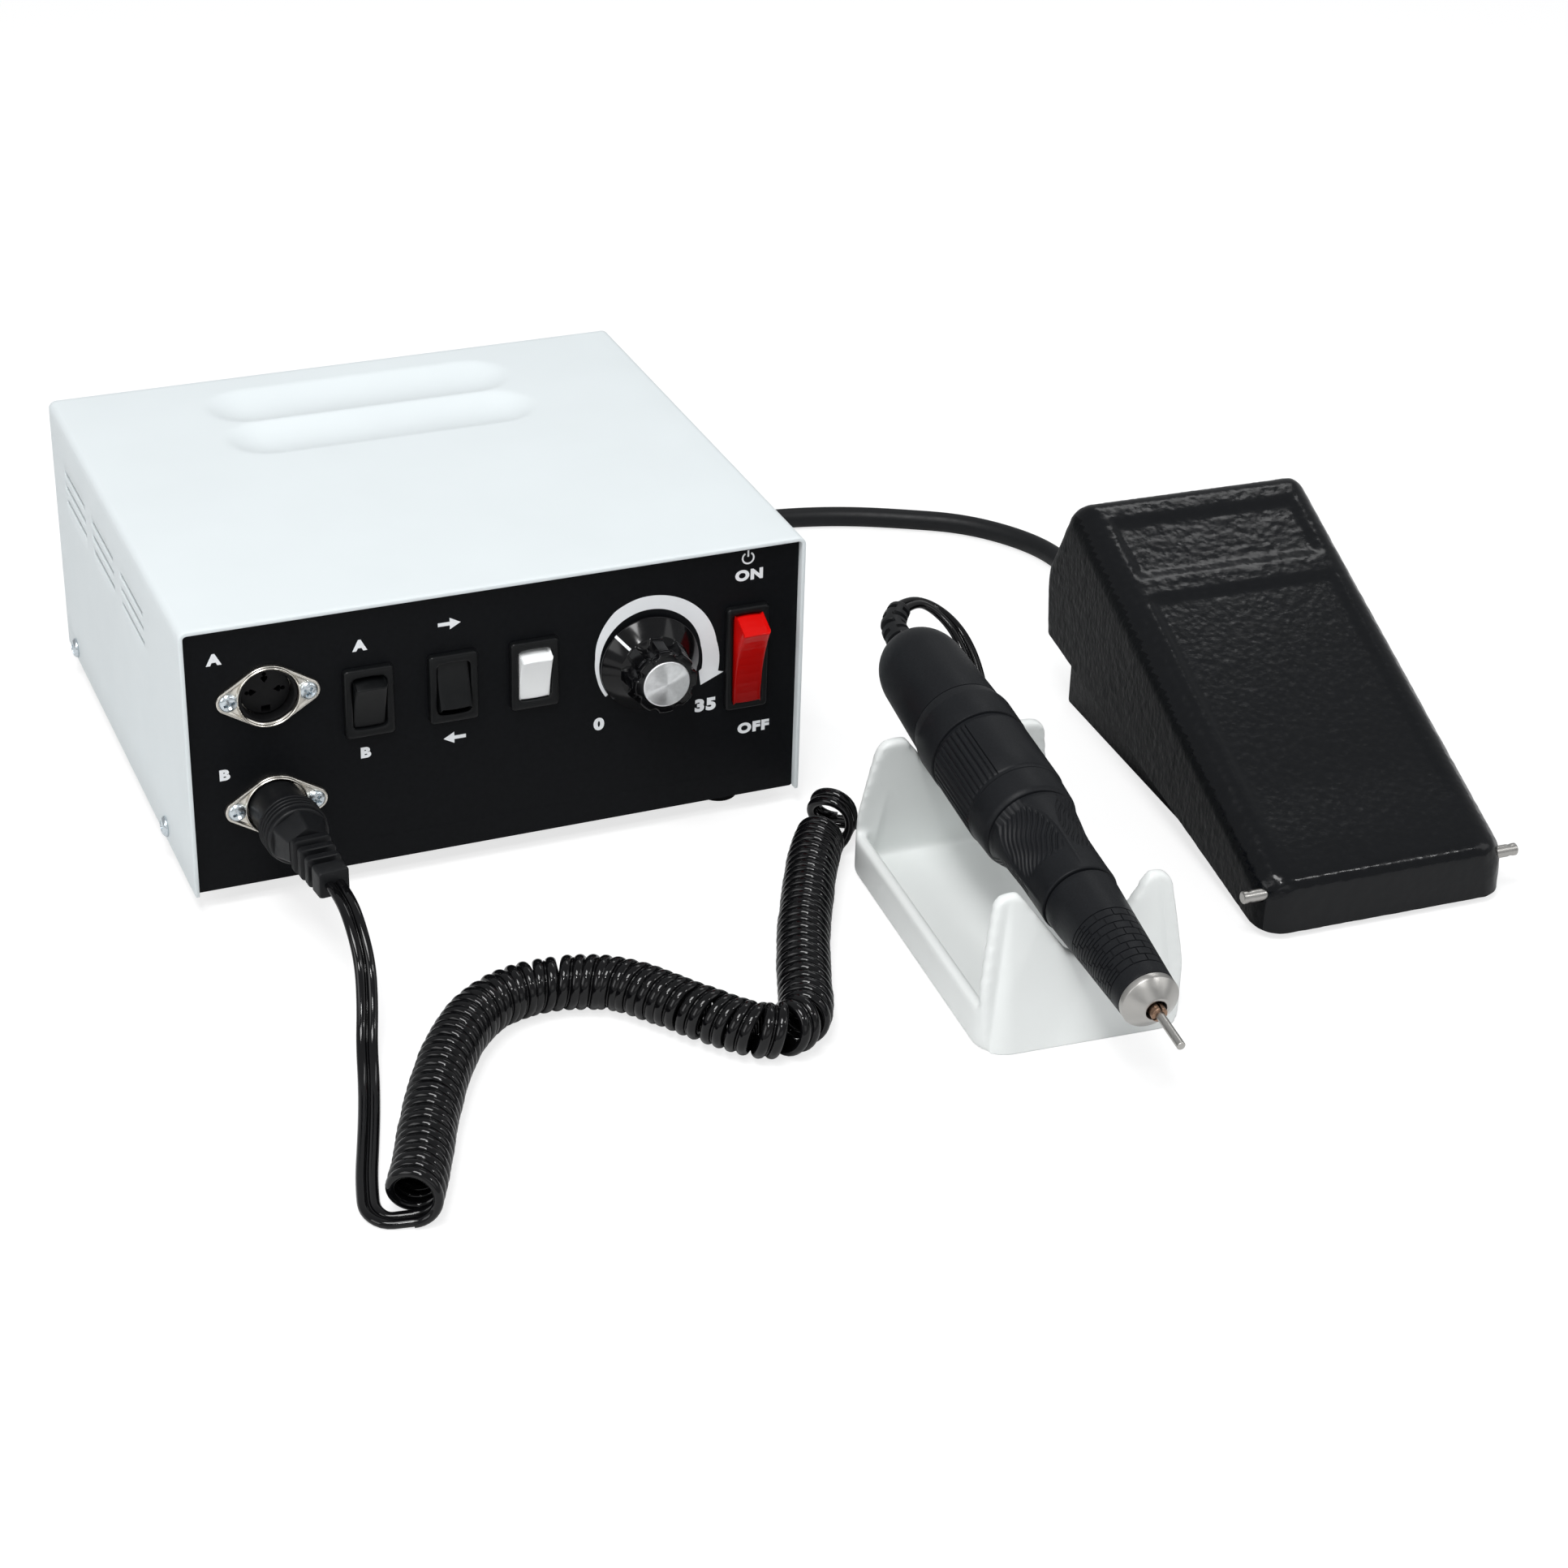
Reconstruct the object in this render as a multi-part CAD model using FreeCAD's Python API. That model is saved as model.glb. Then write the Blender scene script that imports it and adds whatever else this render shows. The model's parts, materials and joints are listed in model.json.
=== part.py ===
import FreeCAD
import Part
import math
import os

# Dental micromotor set: a control unit, a motor handpiece lying in its cradle and a foot pedal,
# joined by a curly handpiece lead and a pedal cord. Millimetres. X runs to the right along the
# front of the control unit, Y to the back and Z up from the floor.

Vector = FreeCAD.Vector

# Fits that many pieces share
seat_gap = 0.02
running_gap = 0.05
open_gap = 0.3

# Control unit, with its left front edge at x = 0, y = 0
unit_width = 181.0
unit_depth = 165.0
cover_height = 82.0
cover_sheet = 1.2
cover_bend = 4.0
foot_height = 6.0
foot_radius = 6.0
foot_inset_x = 19.5
foot_inset_y = 18.5
chassis_sheet = 1.5
chassis_bend = 2.5
chassis_lip = 12.0
panel_recess = 2.5
panel_thickness = 0.8

# Vent slots in both sides of the cover
vent_length = 28.0
vent_width = 1.6
vent_group_pitch = 37.0
vent_groups = 3
vent_first_y = 45.0
vent_row_pitch = 4.7
vent_rows = 3
vent_lowest = 62.9

# Two sunken finger grips across the top of the cover
dent_left = 43.7
dent_right_margin = 40.0
dent_width = 18.0
dent_depth = 1.2
dent_centres = (119.0, 141.0)

# Round sockets for the handpiece plug, places as x and height on the panel
socket_a_place = (23.8, 64.4)
socket_b_place = (24.5, 30.2)
socket_bore = 7.6
socket_ring_wall = 1.3
socket_ring_height = 2.4
socket_flange = 1.5
socket_screw_spacing = 22.2
socket_ear_radius = 3.4
socket_waist_radius = 9.3
socket_barrel_wall = 1.0
socket_barrel_depth = 14.0
socket_free_depth = 7.6
insulator_thickness = 5.0
insulator_shoulder = 0.5
insulator_pins = 3
insulator_pin_circle = 4.4
insulator_pin_hole = 0.9

# Plug in the lower socket, lengths measured outwards from the socket's front ring
plug_skirt_radius = 9.0
plug_grip_radius = 9.6
plug_grip_length = 17.0
plug_ring_count = 2
plug_ring_pitch = 3.68
plug_ring_width = 2.0
plug_rings_reach = 8.0
plug_hex_length = 9.0
plug_hex_front = 17.0
plug_hex_back = 11.5
plug_relief_length = 18.0
plug_relief_radius = 5.2
plug_relief_end = 4.5
plug_relief_groove = 0.9
plug_relief_ribs = 3

# Small rocker switches, places as x and height of the bezel's centre
small_switch_places = {
    "output": (0.28674 * unit_width, 57.7),
    "direction": (0.42044 * unit_width, 57.9),
    "control": (0.551381 * unit_width, 57.9),
}
small_bezel = (14.2, 21.1)
small_window = (9.6, 15.3)
small_rocker = {"half": 7.1, "ridge": 3.9, "rise": 5.7}
small_switch_depth = 16.0
small_pivot_depth = 2.6
window_bow = 0.35

# Power switch
power_place = (unit_width - 17.05, 52.0)
power_bezel = (12.9, 32.7)
power_window = (9.0, 28.7)
power_rocker = {"half": 14.1, "ridge": 10.8, "rise": 6.9}
power_switch_depth = 24.0
power_pivot_depth = 0.7

bezel_height = 2.0
rocker_tilt = 14.0
rocker_hollow = 0.5
rocker_back = 2.6
rocker_back_share = 0.93
rocker_back_bow = 0.12
rocker_pivot = 1.0
rocker_pivot_reach = 0.9

# Speed knob and its potentiometer
knob_place = (unit_width - 46.6, 55.0)
knob_skirt_radius = 14.75
knob_skirt_edge = 1.2
knob_skirt_rise = 3.6
knob_body_radius = 10.3
knob_top_radius = 8.8
knob_height = 14.2
knob_flutes = 8
knob_flute_radius = 4.2
knob_flute_depth = 1.2
knob_cap_radius = 7.0
knob_cap_depth = 0.8
pot_shaft_radius = 3.0
pot_bush_radius = 3.6
pot_nut_radius = 5.5
pot_nut_height = 2.2
pot_bush_stand = 0.4
pot_body_radius = 8.5
pot_body_depth = 9.0

# Rear of the control unit
inlet_place = (unit_width - 31.0, 55.0)
inlet_flange = (30.0, 23.0)
inlet_body = (27.0, 19.5)
inlet_socket = (24.0, 16.5)
inlet_depth = 17.0
inlet_blade = (2.0, 4.0, 12.0)
inlet_blade_pitch = 7.0
fuse_place = (unit_width - 69.0, 55.0)
fuse_radius = 6.2
fuse_collar_radius = 8.0
fuse_body_depth = 26.0
unit_gland_place = (unit_width - 39.5, 21.0)
gland_nut_radius = 7.5
gland_nut_length = 5.0
gland_dome_length = 7.0

# Inside the control unit
transformer_place = (unit_width - 53.0, unit_depth - 47.0)
transformer_core = (52.0, 22.0, 44.0)
transformer_winding = (36.0, 40.0, 30.0)
transformer_foot = (70.0, 20.0, 2.0)
board_size = (70.0, 78.0, 1.6)
board_place = (14.0, 62.0)
board_height = 8.0
board_post_radius = 2.5
board_post_inset = 5.0
capacitor_radius = 8.0
capacitor_height = 30.0
capacitor_places = ((18.0, 58.0), (38.0, 58.0))
heat_sink = (12.0, 48.0, 26.0)
heat_sink_place = (60.0, 38.0)
relay = (20.0, 18.0, 12.0)
relay_place = (24.0, 23.0)

# Cradle, placed by its front left bottom corner
cradle_corner = (174.8, -139.7)
cradle_turn = -3.68
cradle_width = 59.4
cradle_length = 106.0
cradle_floor = 3.0
cradle_side_height = 12.5
cradle_side_wall = 3.3
cradle_end_wall = 3.8
cradle_lean = 10.66
cradle_prong_height = 44.0
cradle_shoulder_height = 17.0
cradle_prong_inset = 4.9
cradle_prong_round = 5.0
cradle_shoulder_round = 20.0
notch_half_angle = 37.0
notch_round = 8.0
notch_lip_round = 3.5
handpiece_seat_gap = 0.3

# Handpiece, measured along its axis from the back of the rear cap
front_seat_along = 125.7
front_seat_across = 29.96
front_seat_back = 8.0
front_seat_height = 37.36
handpiece_turn = 1.3
handpiece_dip = 6.31

relief_length = 14.3
relief_front_radius = 4.6
relief_back_radius = 3.6
relief_grooves = 3
relief_groove_depth = 0.7
cap_length = 39.5
cap_back_radius = 4.7
cap_shoulder_radius = 12.9
cap_shoulder_along = 14.0
cap_front_radius = 13.8
cap_wall = 2.6
dome_steps = 5
collar_length = 15.0
collar_radius = 14.7
collar_chamfer = 4.0
motor_length = 26.5
motor_radius = 14.1
motor_bore = 7.0
mid_collar_length = 9.6
mid_collar_back = 14.05
mid_collar_front = 13.2
sleeve_start = 91.0
sleeve_length = 31.6
sleeve_back_radius = 12.9
sleeve_neck_radius = 12.4
sleeve_front_radius = 10.7
core_rear_radius = 9.0
core_front_radius = 6.9
core_bore = 5.4
core_seat_depth = 7.0
grip_start = 123.1
grip_length = 40.9
grip_back_radius = 10.35
grip_waist_radius = 9.46
grip_front_radius = 7.95
nose_length = 5.6
nose_shoulder = 2.0
nose_face_radius = 3.7
nose_bore = 2.9
shaft_radius = 3.0
shaft_rear = 45.0
shaft_front = 166.5
rotor_radius = 6.5
rotor_end_gap = 1.5
bearing_length = 5.0
rear_bearing_start = 47.0
front_bearing_start = 153.0
collet_radius = 2.2
collet_start = 150.0
collet_end = 171.8
collet_slot = 0.5
collet_slot_start = 158.0
mandrel_radius = 1.175
mandrel_start = 152.0
mandrel_end = 184.2

# Foot pedal, placed by the front left bottom corner of the treadle
pedal_corner = (274.69, -115.36)
pedal_turn = -2.23
treadle_width = 74.35
treadle_front_bottom = (0.0, 2.9)
treadle_front_top = (1.1, 17.5)
treadle_rear_top = (136.8, 72.4)
treadle_rear_mid = (153.5, 45.0)
treadle_rear_bottom = (151.0, 25.0)
treadle_skirt_front = (8.8, 2.6)
treadle_wall = 2.0
treadle_front_wall = 1.5
treadle_edge_round = 4.0
treadle_border = 6.0
treadle_recess_depth = 1.2
treadle_recess_end = 107.0
heel_bar = 9.0
treadle_notch = (17.0, 13.0)
treadle_notch_run = 20.0
pedal_pin_place = (5.4, 12.9)
pedal_pin_radius = 1.8
pedal_pin_reach = 6.6
pedal_base_inset = 6.7
pedal_base_wall = 2.2
pedal_base_rear = 147.5
pedal_base_rear_height = 36.0
pedal_base_front_height = 8.0
pedal_base_front = 9.0
pedal_ear_radius = 2.8
pedal_gland_height = 9.0
pedal_gland_across = 37.2
pedal_gland_radius = 5.0
pedal_gland_reach = 3.0
pedal_travel = 8.0

# Toothed sector under the treadle and the pinion on the pedal's potentiometer
gear_module = 1.0
sector_teeth_round = 196
sector_teeth = 8
sector_depth = 7.0
sector_web_depth = 6.0
sector_web_top = 40.0
pressure_angle = 20.0
sector_across = 34.0
sector_width = 4.0
pinion_teeth = 14
pinion_angle = 9.0
pinion_width = 5.0
gear_backlash = 0.25
tooth_addendum = 0.8
tooth_dedendum = 1.15
pedal_pot_across = 18.0
pedal_bracket = 2.0
spring_place = (55.0, 76.0)
spring_radius = 6.0
spring_wire = 1.6
spring_seat = 3.0

# Handpiece lead, whose curly part is wound from the same cord, sprung fatter by its winding
lead_diameter = 3.6
coil_outer_radius = 7.2
coil_lift = 0.4
coil_turns = 43
coil_last_pitch = 9.0

tube_sides = 8
winding_sides = 6

# Pedal cord
pedal_cord_diameter = 6.2
pedal_cord_lift = 0.1
pile_centre = (98.0, 226.0)
pile_outer_radius = 43.5
pile_step = 6.8
pile_inward_turns = 2.75
pile_reverse_turns = 0.5
pile_outward_turns = 2.5
pile_dip = 1.7


# Solids from profiles


def box(x0, x1, y0, y1, z0, z1):
    return Part.makeBox(x1 - x0, y1 - y0, z1 - z0, Vector(x0, y0, z0))


def rod(radius, start, end):
    axis = end - start
    return Part.makeCylinder(radius, axis.Length, start, axis)


def outline(corners, rounds):
    """Closed flat face through corner points, each corner rounded by its own radius."""
    count = len(corners)
    edges = []
    starts = []
    ends = []
    for i in range(count):
        corner = corners[i]
        back = (corners[i - 1] - corner).normalize()
        ahead = (corners[(i + 1) % count] - corner).normalize()
        radius = rounds[i]
        if radius == 0:
            starts.append(corner)
            ends.append(corner)
            continue
        half_turn = (math.pi - back.getAngle(ahead)) / 2
        reach = radius * math.tan(half_turn)
        towards_centre = (back + ahead).normalize()
        middle = corner + towards_centre * (radius / math.cos(half_turn) - radius)
        starts.append(corner + back * reach)
        ends.append(corner + ahead * reach)
        edges.append(Part.Arc(starts[i], middle, ends[i]).toShape())
    for i in range(count):
        leave = ends[i]
        arrive = starts[(i + 1) % count]
        if (arrive - leave).Length > 1e-6:
            edges.append(Part.LineSegment(leave, arrive).toShape())
    return Part.Face(Part.Wire(Part.__sortEdges__(edges)))


def side_prism(points, rounds, x0, x1):
    """Profile of (y, z) points carried along X."""
    corners = [Vector(x0, y, z) for y, z in points]
    return outline(corners, rounds).extrude(Vector(x1 - x0, 0, 0))


def front_prism(points, rounds, y0, y1):
    """Profile of (x, z) points carried along Y."""
    corners = [Vector(x, y0, z) for x, z in points]
    return outline(corners, rounds).extrude(Vector(0, y1 - y0, 0))


def plan_prism(points, rounds, z0, z1):
    """Profile of (x, y) points carried along Z."""
    corners = [Vector(x, y, z0) for x, y in points]
    return outline(corners, rounds).extrude(Vector(0, 0, z1 - z0))


def frame_points(centre, size):
    """The four corners of a rectangle of a size about a centre."""
    x, z = centre
    left, right = x - size[0] / 2, x + size[0] / 2
    low, high = z - size[1] / 2, z + size[1] / 2
    return [(left, low), (right, low), (right, high), (left, high)]


def plate(centre, size, corner, y0, y1):
    """Upright rectangular plate with rounded corners."""
    return front_prism(frame_points(centre, size), [corner] * 4, y0, y1)


def turned(points, rounds=None):
    """Solid of revolution about the X axis from (along, radius) points."""
    corners = [Vector(along, radius, 0) for along, radius in points]
    face = outline(corners, rounds or [0] * len(corners))
    return face.revolve(Vector(0, 0, 0), Vector(1, 0, 0), 360)


def facing_panel(solid, place, depth):
    """Turns a solid made along +X so that it points out of the front panel."""
    placed = solid.copy()
    placed.rotate(Vector(0, 0, 0), Vector(0, 0, 1), -90)
    placed.translate(Vector(place[0], depth, place[1]))
    return placed


def facing_back(solid, place, depth):
    """Turns a solid made along +X so that it points out of the rear panel."""
    placed = solid.copy()
    placed.rotate(Vector(0, 0, 0), Vector(0, 0, 1), 90)
    placed.translate(Vector(place[0], depth, place[1]))
    return placed


# Faces of the control unit that other pieces sit on

cover_bottom = foot_height
cover_top = cover_bottom + cover_height
panel_face = panel_recess
flange_face = panel_face + panel_thickness
flange_back = flange_face + chassis_sheet
rear_face = unit_depth - panel_recess
inner_left = cover_sheet
inner_right = unit_width - cover_sheet


def make_cover():
    corners = [(0, cover_bottom), (unit_width, cover_bottom), (unit_width, cover_top), (0, cover_top)]
    shell = front_prism(corners, [0, 0, cover_bend, cover_bend], 0, unit_depth)
    inside = [
        (cover_sheet, cover_bottom - cover_sheet),
        (inner_right, cover_bottom - cover_sheet),
        (inner_right, cover_top - cover_sheet),
        (cover_sheet, cover_top - cover_sheet),
    ]
    inner_bend = cover_bend - cover_sheet
    shell = shell.cut(front_prism(inside, [0, 0, inner_bend, inner_bend], -1, unit_depth + 1))
    for centre_y in dent_centres:
        shell = shell.fuse(dent(centre_y, dent_width / 2, cover_top - cover_sheet - dent_depth, cover_top))
        half = dent_width / 2 - cover_sheet
        shell = shell.cut(dent(centre_y, half, cover_top - dent_depth, cover_top + 1))
    for row in range(vent_rows):
        z = vent_lowest + row * vent_row_pitch
        for group in range(vent_groups):
            y = vent_first_y + group * vent_group_pitch
            slot = box(-1, unit_width + 1, y, y + vent_length, z - vent_width / 2, z + vent_width / 2)
            shell = shell.cut(slot)
    return shell.removeSplitter()


def dent(centre_y, half_width, bottom, top):
    """Round-ended block across the top of the cover."""
    ends = half_width - 0.01
    dent_right = unit_width - dent_right_margin
    corners = [
        (dent_left + dent_width / 2 - half_width, centre_y - half_width),
        (dent_right - dent_width / 2 + half_width, centre_y - half_width),
        (dent_right - dent_width / 2 + half_width, centre_y + half_width),
        (dent_left + dent_width / 2 - half_width, centre_y + half_width),
    ]
    return plan_prism(corners, [ends] * 4, bottom, top)


def panel_openings(y0, y1):
    """Cut-outs that the front panel and the chassis share."""
    cuts = []
    barrel = socket_bore + socket_barrel_wall + seat_gap
    for x, z in (socket_a_place, socket_b_place):
        cuts.append(rod(barrel, Vector(x, y0, z), Vector(x, y1, z)))
    for place in small_switch_places.values():
        cuts.append(plate(place, switch_body_size(small_bezel, seat_gap), 0, y0, y1))
    cuts.append(plate(power_place, switch_body_size(power_bezel, seat_gap), 0, y0, y1))
    x, z = knob_place
    cuts.append(rod(pot_bush_radius + seat_gap, Vector(x, y0, z), Vector(x, y1, z)))
    return cuts


def switch_body_size(bezel, gap):
    margin = 1.1
    return (bezel[0] - 2 * margin + 2 * gap, bezel[1] - 2 * margin + 2 * gap)


def make_front_panel():
    blank = box(
        inner_left + seat_gap,
        inner_right - seat_gap,
        panel_face,
        flange_face,
        cover_bottom + chassis_sheet / 3,
        cover_top - cover_sheet - seat_gap,
    )
    corner = cover_bend - cover_sheet
    inside = [
        (inner_left, cover_bottom),
        (inner_right, cover_bottom),
        (inner_right, cover_top - cover_sheet - seat_gap),
        (inner_left, cover_top - cover_sheet - seat_gap),
    ]
    blank = blank.common(front_prism(inside, [0, 0, corner, corner], 0, unit_depth))
    return blank.cut(panel_openings(panel_face - 1, flange_face + 1)).removeSplitter()


def make_chassis():
    top = cover_top - cover_sheet - cover_bend
    back = rear_face
    profile = [
        (flange_face, top),
        (flange_face, cover_bottom),
        (back, cover_bottom),
        (back, top),
        (back - chassis_sheet, top),
        (back - chassis_sheet, cover_bottom + chassis_sheet),
        (flange_back, cover_bottom + chassis_sheet),
        (flange_back, top),
    ]
    inner_bend = chassis_bend - chassis_sheet
    rounds = [0, chassis_bend, chassis_bend, 0, 0, inner_bend, inner_bend, 0]
    left = inner_left + seat_gap
    right = inner_right - seat_gap
    tray = side_prism(profile, rounds, left, right)
    lip_front = flange_back + chassis_lip
    lip_back = back - chassis_lip
    for x0, x1 in ((left, left + chassis_sheet), (right - chassis_sheet, right)):
        tray = tray.fuse(box(x0, x1, lip_front, lip_back, cover_bottom, cover_bottom + chassis_lip))
    tray = tray.cut(panel_openings(flange_face - 1, flange_back + 1))
    tray = tray.cut(rear_openings(back - chassis_sheet - 1, back + 1))
    return tray.removeSplitter()


def rear_openings(y0, y1):
    cuts = [plate(inlet_place, (inlet_body[0] + seat_gap, inlet_body[1] + seat_gap), 1.0, y0, y1)]
    for (x, z), radius in ((fuse_place, fuse_radius), (unit_gland_place, gland_neck_radius())):
        cuts.append(rod(radius + seat_gap, Vector(x, y0, z), Vector(x, y1, z)))
    return cuts


def gland_neck_radius():
    return pedal_cord_diameter / 2 + 2.0


def make_feet():
    feet = []
    for x in (foot_inset_x, unit_width - foot_inset_x):
        for y in (foot_inset_y, unit_depth - foot_inset_y):
            feet.append(rod(foot_radius, Vector(x, y, 0), Vector(x, y, foot_height)))
    return Part.makeCompound(feet)


# Round sockets and the plug


def make_socket(place):
    """Nickel flange with ears, raised ring and barrel, along +X from the panel's face."""
    ear_x = socket_screw_spacing / 2
    slope = math.asin((socket_waist_radius - socket_ear_radius) / ear_x)
    tip = ear_x + socket_ear_radius / math.sin(slope)
    crown = socket_waist_radius / math.cos(slope)
    rhomb = [Vector(0, -tip, 0), Vector(0, 0, -crown), Vector(0, tip, 0), Vector(0, 0, crown)]
    rounds = [socket_ear_radius, socket_waist_radius, socket_ear_radius, socket_waist_radius]
    flange = outline(rhomb, rounds).extrude(Vector(socket_flange, 0, 0))
    ring_radius = socket_bore + socket_ring_wall
    ring = rod(ring_radius, Vector(0, 0, 0), Vector(socket_flange + socket_ring_height, 0, 0))
    barrel = rod(socket_bore + socket_barrel_wall, Vector(-socket_barrel_depth, 0, 0), Vector(0, 0, 0))
    bore = rod(socket_bore, Vector(insulator_front(), 0, 0), Vector(ring_radius, 0, 0))
    seat = rod(
        socket_bore - insulator_shoulder,
        Vector(-socket_barrel_depth - 1, 0, 0),
        Vector(insulator_front() + 1, 0, 0),
    )
    return facing_panel(flange.fuse([ring, barrel]).cut([bore, seat]).removeSplitter(), place, panel_face)


def insulator_front():
    """Front face of the insulator, measured outwards from the panel's face."""
    return socket_flange + socket_ring_height - socket_free_depth


def socket_front():
    return panel_face - socket_flange - socket_ring_height


def make_insulator(place):
    """Black disc in the socket's barrel with a half circle of contact holes."""
    front = insulator_front()
    start = Vector(front - insulator_thickness, 0, 0)
    disc = rod(socket_bore - insulator_shoulder - seat_gap, start, Vector(front, 0, 0))
    for i in range(insulator_pins):
        angle = math.radians(180 + i * 180 / (insulator_pins - 1))
        y = insulator_pin_circle * math.cos(angle)
        z = insulator_pin_circle * math.sin(angle)
        disc = disc.cut(rod(insulator_pin_hole, Vector(front - 3, y, z), Vector(front + 1, y, z)))
    return facing_panel(disc, place, panel_face)


def make_plug():
    """Moulded plug with a ringed grip, a six-sided taper and a ribbed strain relief."""
    nose_radius = socket_bore - running_gap
    grip = [(-socket_free_depth + open_gap, 0), (-socket_free_depth + open_gap, nose_radius)]
    grip += [(0.0, nose_radius), (0.2, plug_skirt_radius), (plug_grip_length - plug_rings_reach - 0.5, plug_skirt_radius)]
    for i in range(plug_ring_count):
        start = plug_grip_length - plug_rings_reach + i * plug_ring_pitch
        end = start + plug_ring_width
        grip += [(start, plug_grip_radius), (end - 0.2, plug_grip_radius), (end, plug_skirt_radius)]
    grip += [(plug_grip_length, plug_skirt_radius), (plug_grip_length, 0)]
    body = turned(grip)
    start = plug_grip_length + plug_hex_length
    ends = [hexagon(plug_grip_length - 1.0, plug_hex_front), hexagon(start, plug_hex_back)]
    taper = Part.makeLoft(ends, True, True)
    relief = turned(ribbed_relief(start, start + plug_relief_length, plug_relief_radius, plug_relief_end))
    plug = body.fuse([taper, relief]).removeSplitter()
    return facing_panel(plug, socket_b_place, socket_front())


def hexagon(along, across_flats):
    radius = across_flats / math.sqrt(3)
    points = []
    for i in range(7):
        angle = math.radians(60 * i + 30)
        points.append(Vector(along, radius * math.cos(angle), radius * math.sin(angle)))
    return Part.makePolygon(points)


def ribbed_relief(start, end, start_radius, end_radius):
    """Profile of a tapered strain relief with square grooves, from its thick end."""
    pitch = (end - start) / (plug_relief_ribs + 1)
    points = [(start, 0), (start, start_radius)]
    for i in range(plug_relief_ribs):
        share = (i + 1) / (plug_relief_ribs + 1)
        radius = start_radius + (end_radius - start_radius) * share
        groove = start + pitch * (i + 0.75)
        width = pitch * 0.4
        points += [(groove, radius), (groove, radius - plug_relief_groove)]
        points += [(groove + width, radius - plug_relief_groove), (groove + width, radius)]
    points += [(end, end_radius), (end, 0)]
    return points


# Rocker switches


def bowed_window(place, size, y0, y1):
    """Window whose top and bottom edges bow outwards."""
    x, z = place
    half_x = size[0] / 2
    half_z = size[1] / 2
    side = half_z - window_bow
    corners = [Vector(x - half_x, y0, z - side), Vector(x + half_x, y0, z - side)]
    corners += [Vector(x + half_x, y0, z + side), Vector(x - half_x, y0, z + side)]
    edges = [
        Part.Arc(corners[0], Vector(x, y0, z - half_z), corners[1]).toShape(),
        Part.LineSegment(corners[1], corners[2]).toShape(),
        Part.Arc(corners[2], Vector(x, y0, z + half_z), corners[3]).toShape(),
        Part.LineSegment(corners[3], corners[0]).toShape(),
    ]
    return Part.Face(Part.Wire(edges)).extrude(Vector(0, y1 - y0, 0))


def make_switch_housing(place, bezel, window, depth, pivot_y):
    front = panel_face - bezel_height
    rim = plate(place, bezel, 1.2, front, panel_face)
    body = plate(place, switch_body_size(bezel, 0), 0, panel_face, panel_face + depth)
    housing = rim.fuse(body)
    room = pivot_y + window[1] / 4 + 2.5
    housing = housing.cut(bowed_window(place, window, front - 1, room))
    x, z = place
    reach = window[0] / 2 + rocker_pivot_reach
    pivot = rod(rocker_pivot + running_gap, Vector(x - reach, pivot_y, z), Vector(x + reach, pivot_y, z))
    return housing.cut(pivot).removeSplitter()


def make_rocker(place, window, size, pivot_y, tilt):
    """Rocker with a ridge on each half, a hollow between them and a pivot pin."""
    x, z = place
    width = window[0] - 2 * open_gap
    half = size["half"]
    ridge = size["ridge"]
    rise = size["rise"]
    back = half * rocker_back_share
    profile = [
        (0.2, half),
        (-rise, ridge),
        (-rise + rocker_hollow, 0),
        (-rise, -ridge),
        (0.2, -half),
        (rocker_back, -back),
        (rocker_back + half * rocker_back_bow, 0),
        (rocker_back, back),
    ]
    rocker = side_prism(profile, [0.3, 0.6, 0, 0.6, 0.3, 0, 0, 0], -width / 2, width / 2)
    reach = window[0] / 2 + rocker_pivot_reach - running_gap
    rocker = rocker.fuse(rod(rocker_pivot, Vector(-reach, 0, 0), Vector(reach, 0, 0)))
    rocker.rotate(Vector(0, 0, 0), Vector(1, 0, 0), tilt)
    rocker.translate(Vector(x, pivot_y, z))
    return rocker.removeSplitter()


# Speed control


def make_knob_body():
    """Skirted knob with eight finger flutes, made along +X from its back."""
    face = open_gap
    skirt_top = face + knob_skirt_edge + knob_skirt_rise
    profile = [
        (face, 0),
        (face, knob_skirt_radius),
        (face + knob_skirt_edge, knob_skirt_radius),
        (skirt_top, knob_body_radius),
        (knob_height, knob_top_radius),
        (knob_height, knob_cap_radius + seat_gap),
        (knob_height - knob_cap_depth, knob_cap_radius + seat_gap),
        (knob_height - knob_cap_depth, 0),
    ]
    knob = turned(profile)
    lean = math.atan((knob_body_radius - knob_top_radius) / (knob_height - skirt_top))
    for i in range(knob_flutes):
        distance = knob_body_radius + knob_flute_radius - knob_flute_depth
        start = Vector(skirt_top + 0.4, distance, 0)
        end = start + Vector(math.cos(lean), -math.sin(lean), 0) * knob_height
        flute = rod(knob_flute_radius, start, end)
        flute.rotate(Vector(0, 0, 0), Vector(1, 0, 0), (i + 0.5) * 360 / knob_flutes)
        knob = knob.cut(flute)
    shaft_hole = rod(pot_shaft_radius + seat_gap, Vector(0, 0, 0), Vector(knob_height - 3, 0, 0))
    nut_room = rod(pot_nut_radius + 1, Vector(0, 0, 0), Vector(pot_nut_height + 2 * open_gap, 0, 0))
    return facing_panel(knob.cut([shaft_hole, nut_room]).removeSplitter(), knob_place, panel_face)


def make_knob_cap():
    top = knob_height + 0.4
    bottom = knob_height - knob_cap_depth
    bevel = 0.4
    profile = [(bottom, 0), (bottom, knob_cap_radius), (top - bevel, knob_cap_radius)]
    profile += [(top, knob_cap_radius - bevel), (top, 0)]
    return facing_panel(turned(profile), knob_place, panel_face)


def make_pot_shaft():
    start = Vector(-flange_back + panel_face - pot_body_depth / 2, 0, 0)
    shaft = rod(pot_shaft_radius, start, Vector(knob_height - 3 - seat_gap, 0, 0))
    return facing_panel(shaft, knob_place, panel_face)


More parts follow.
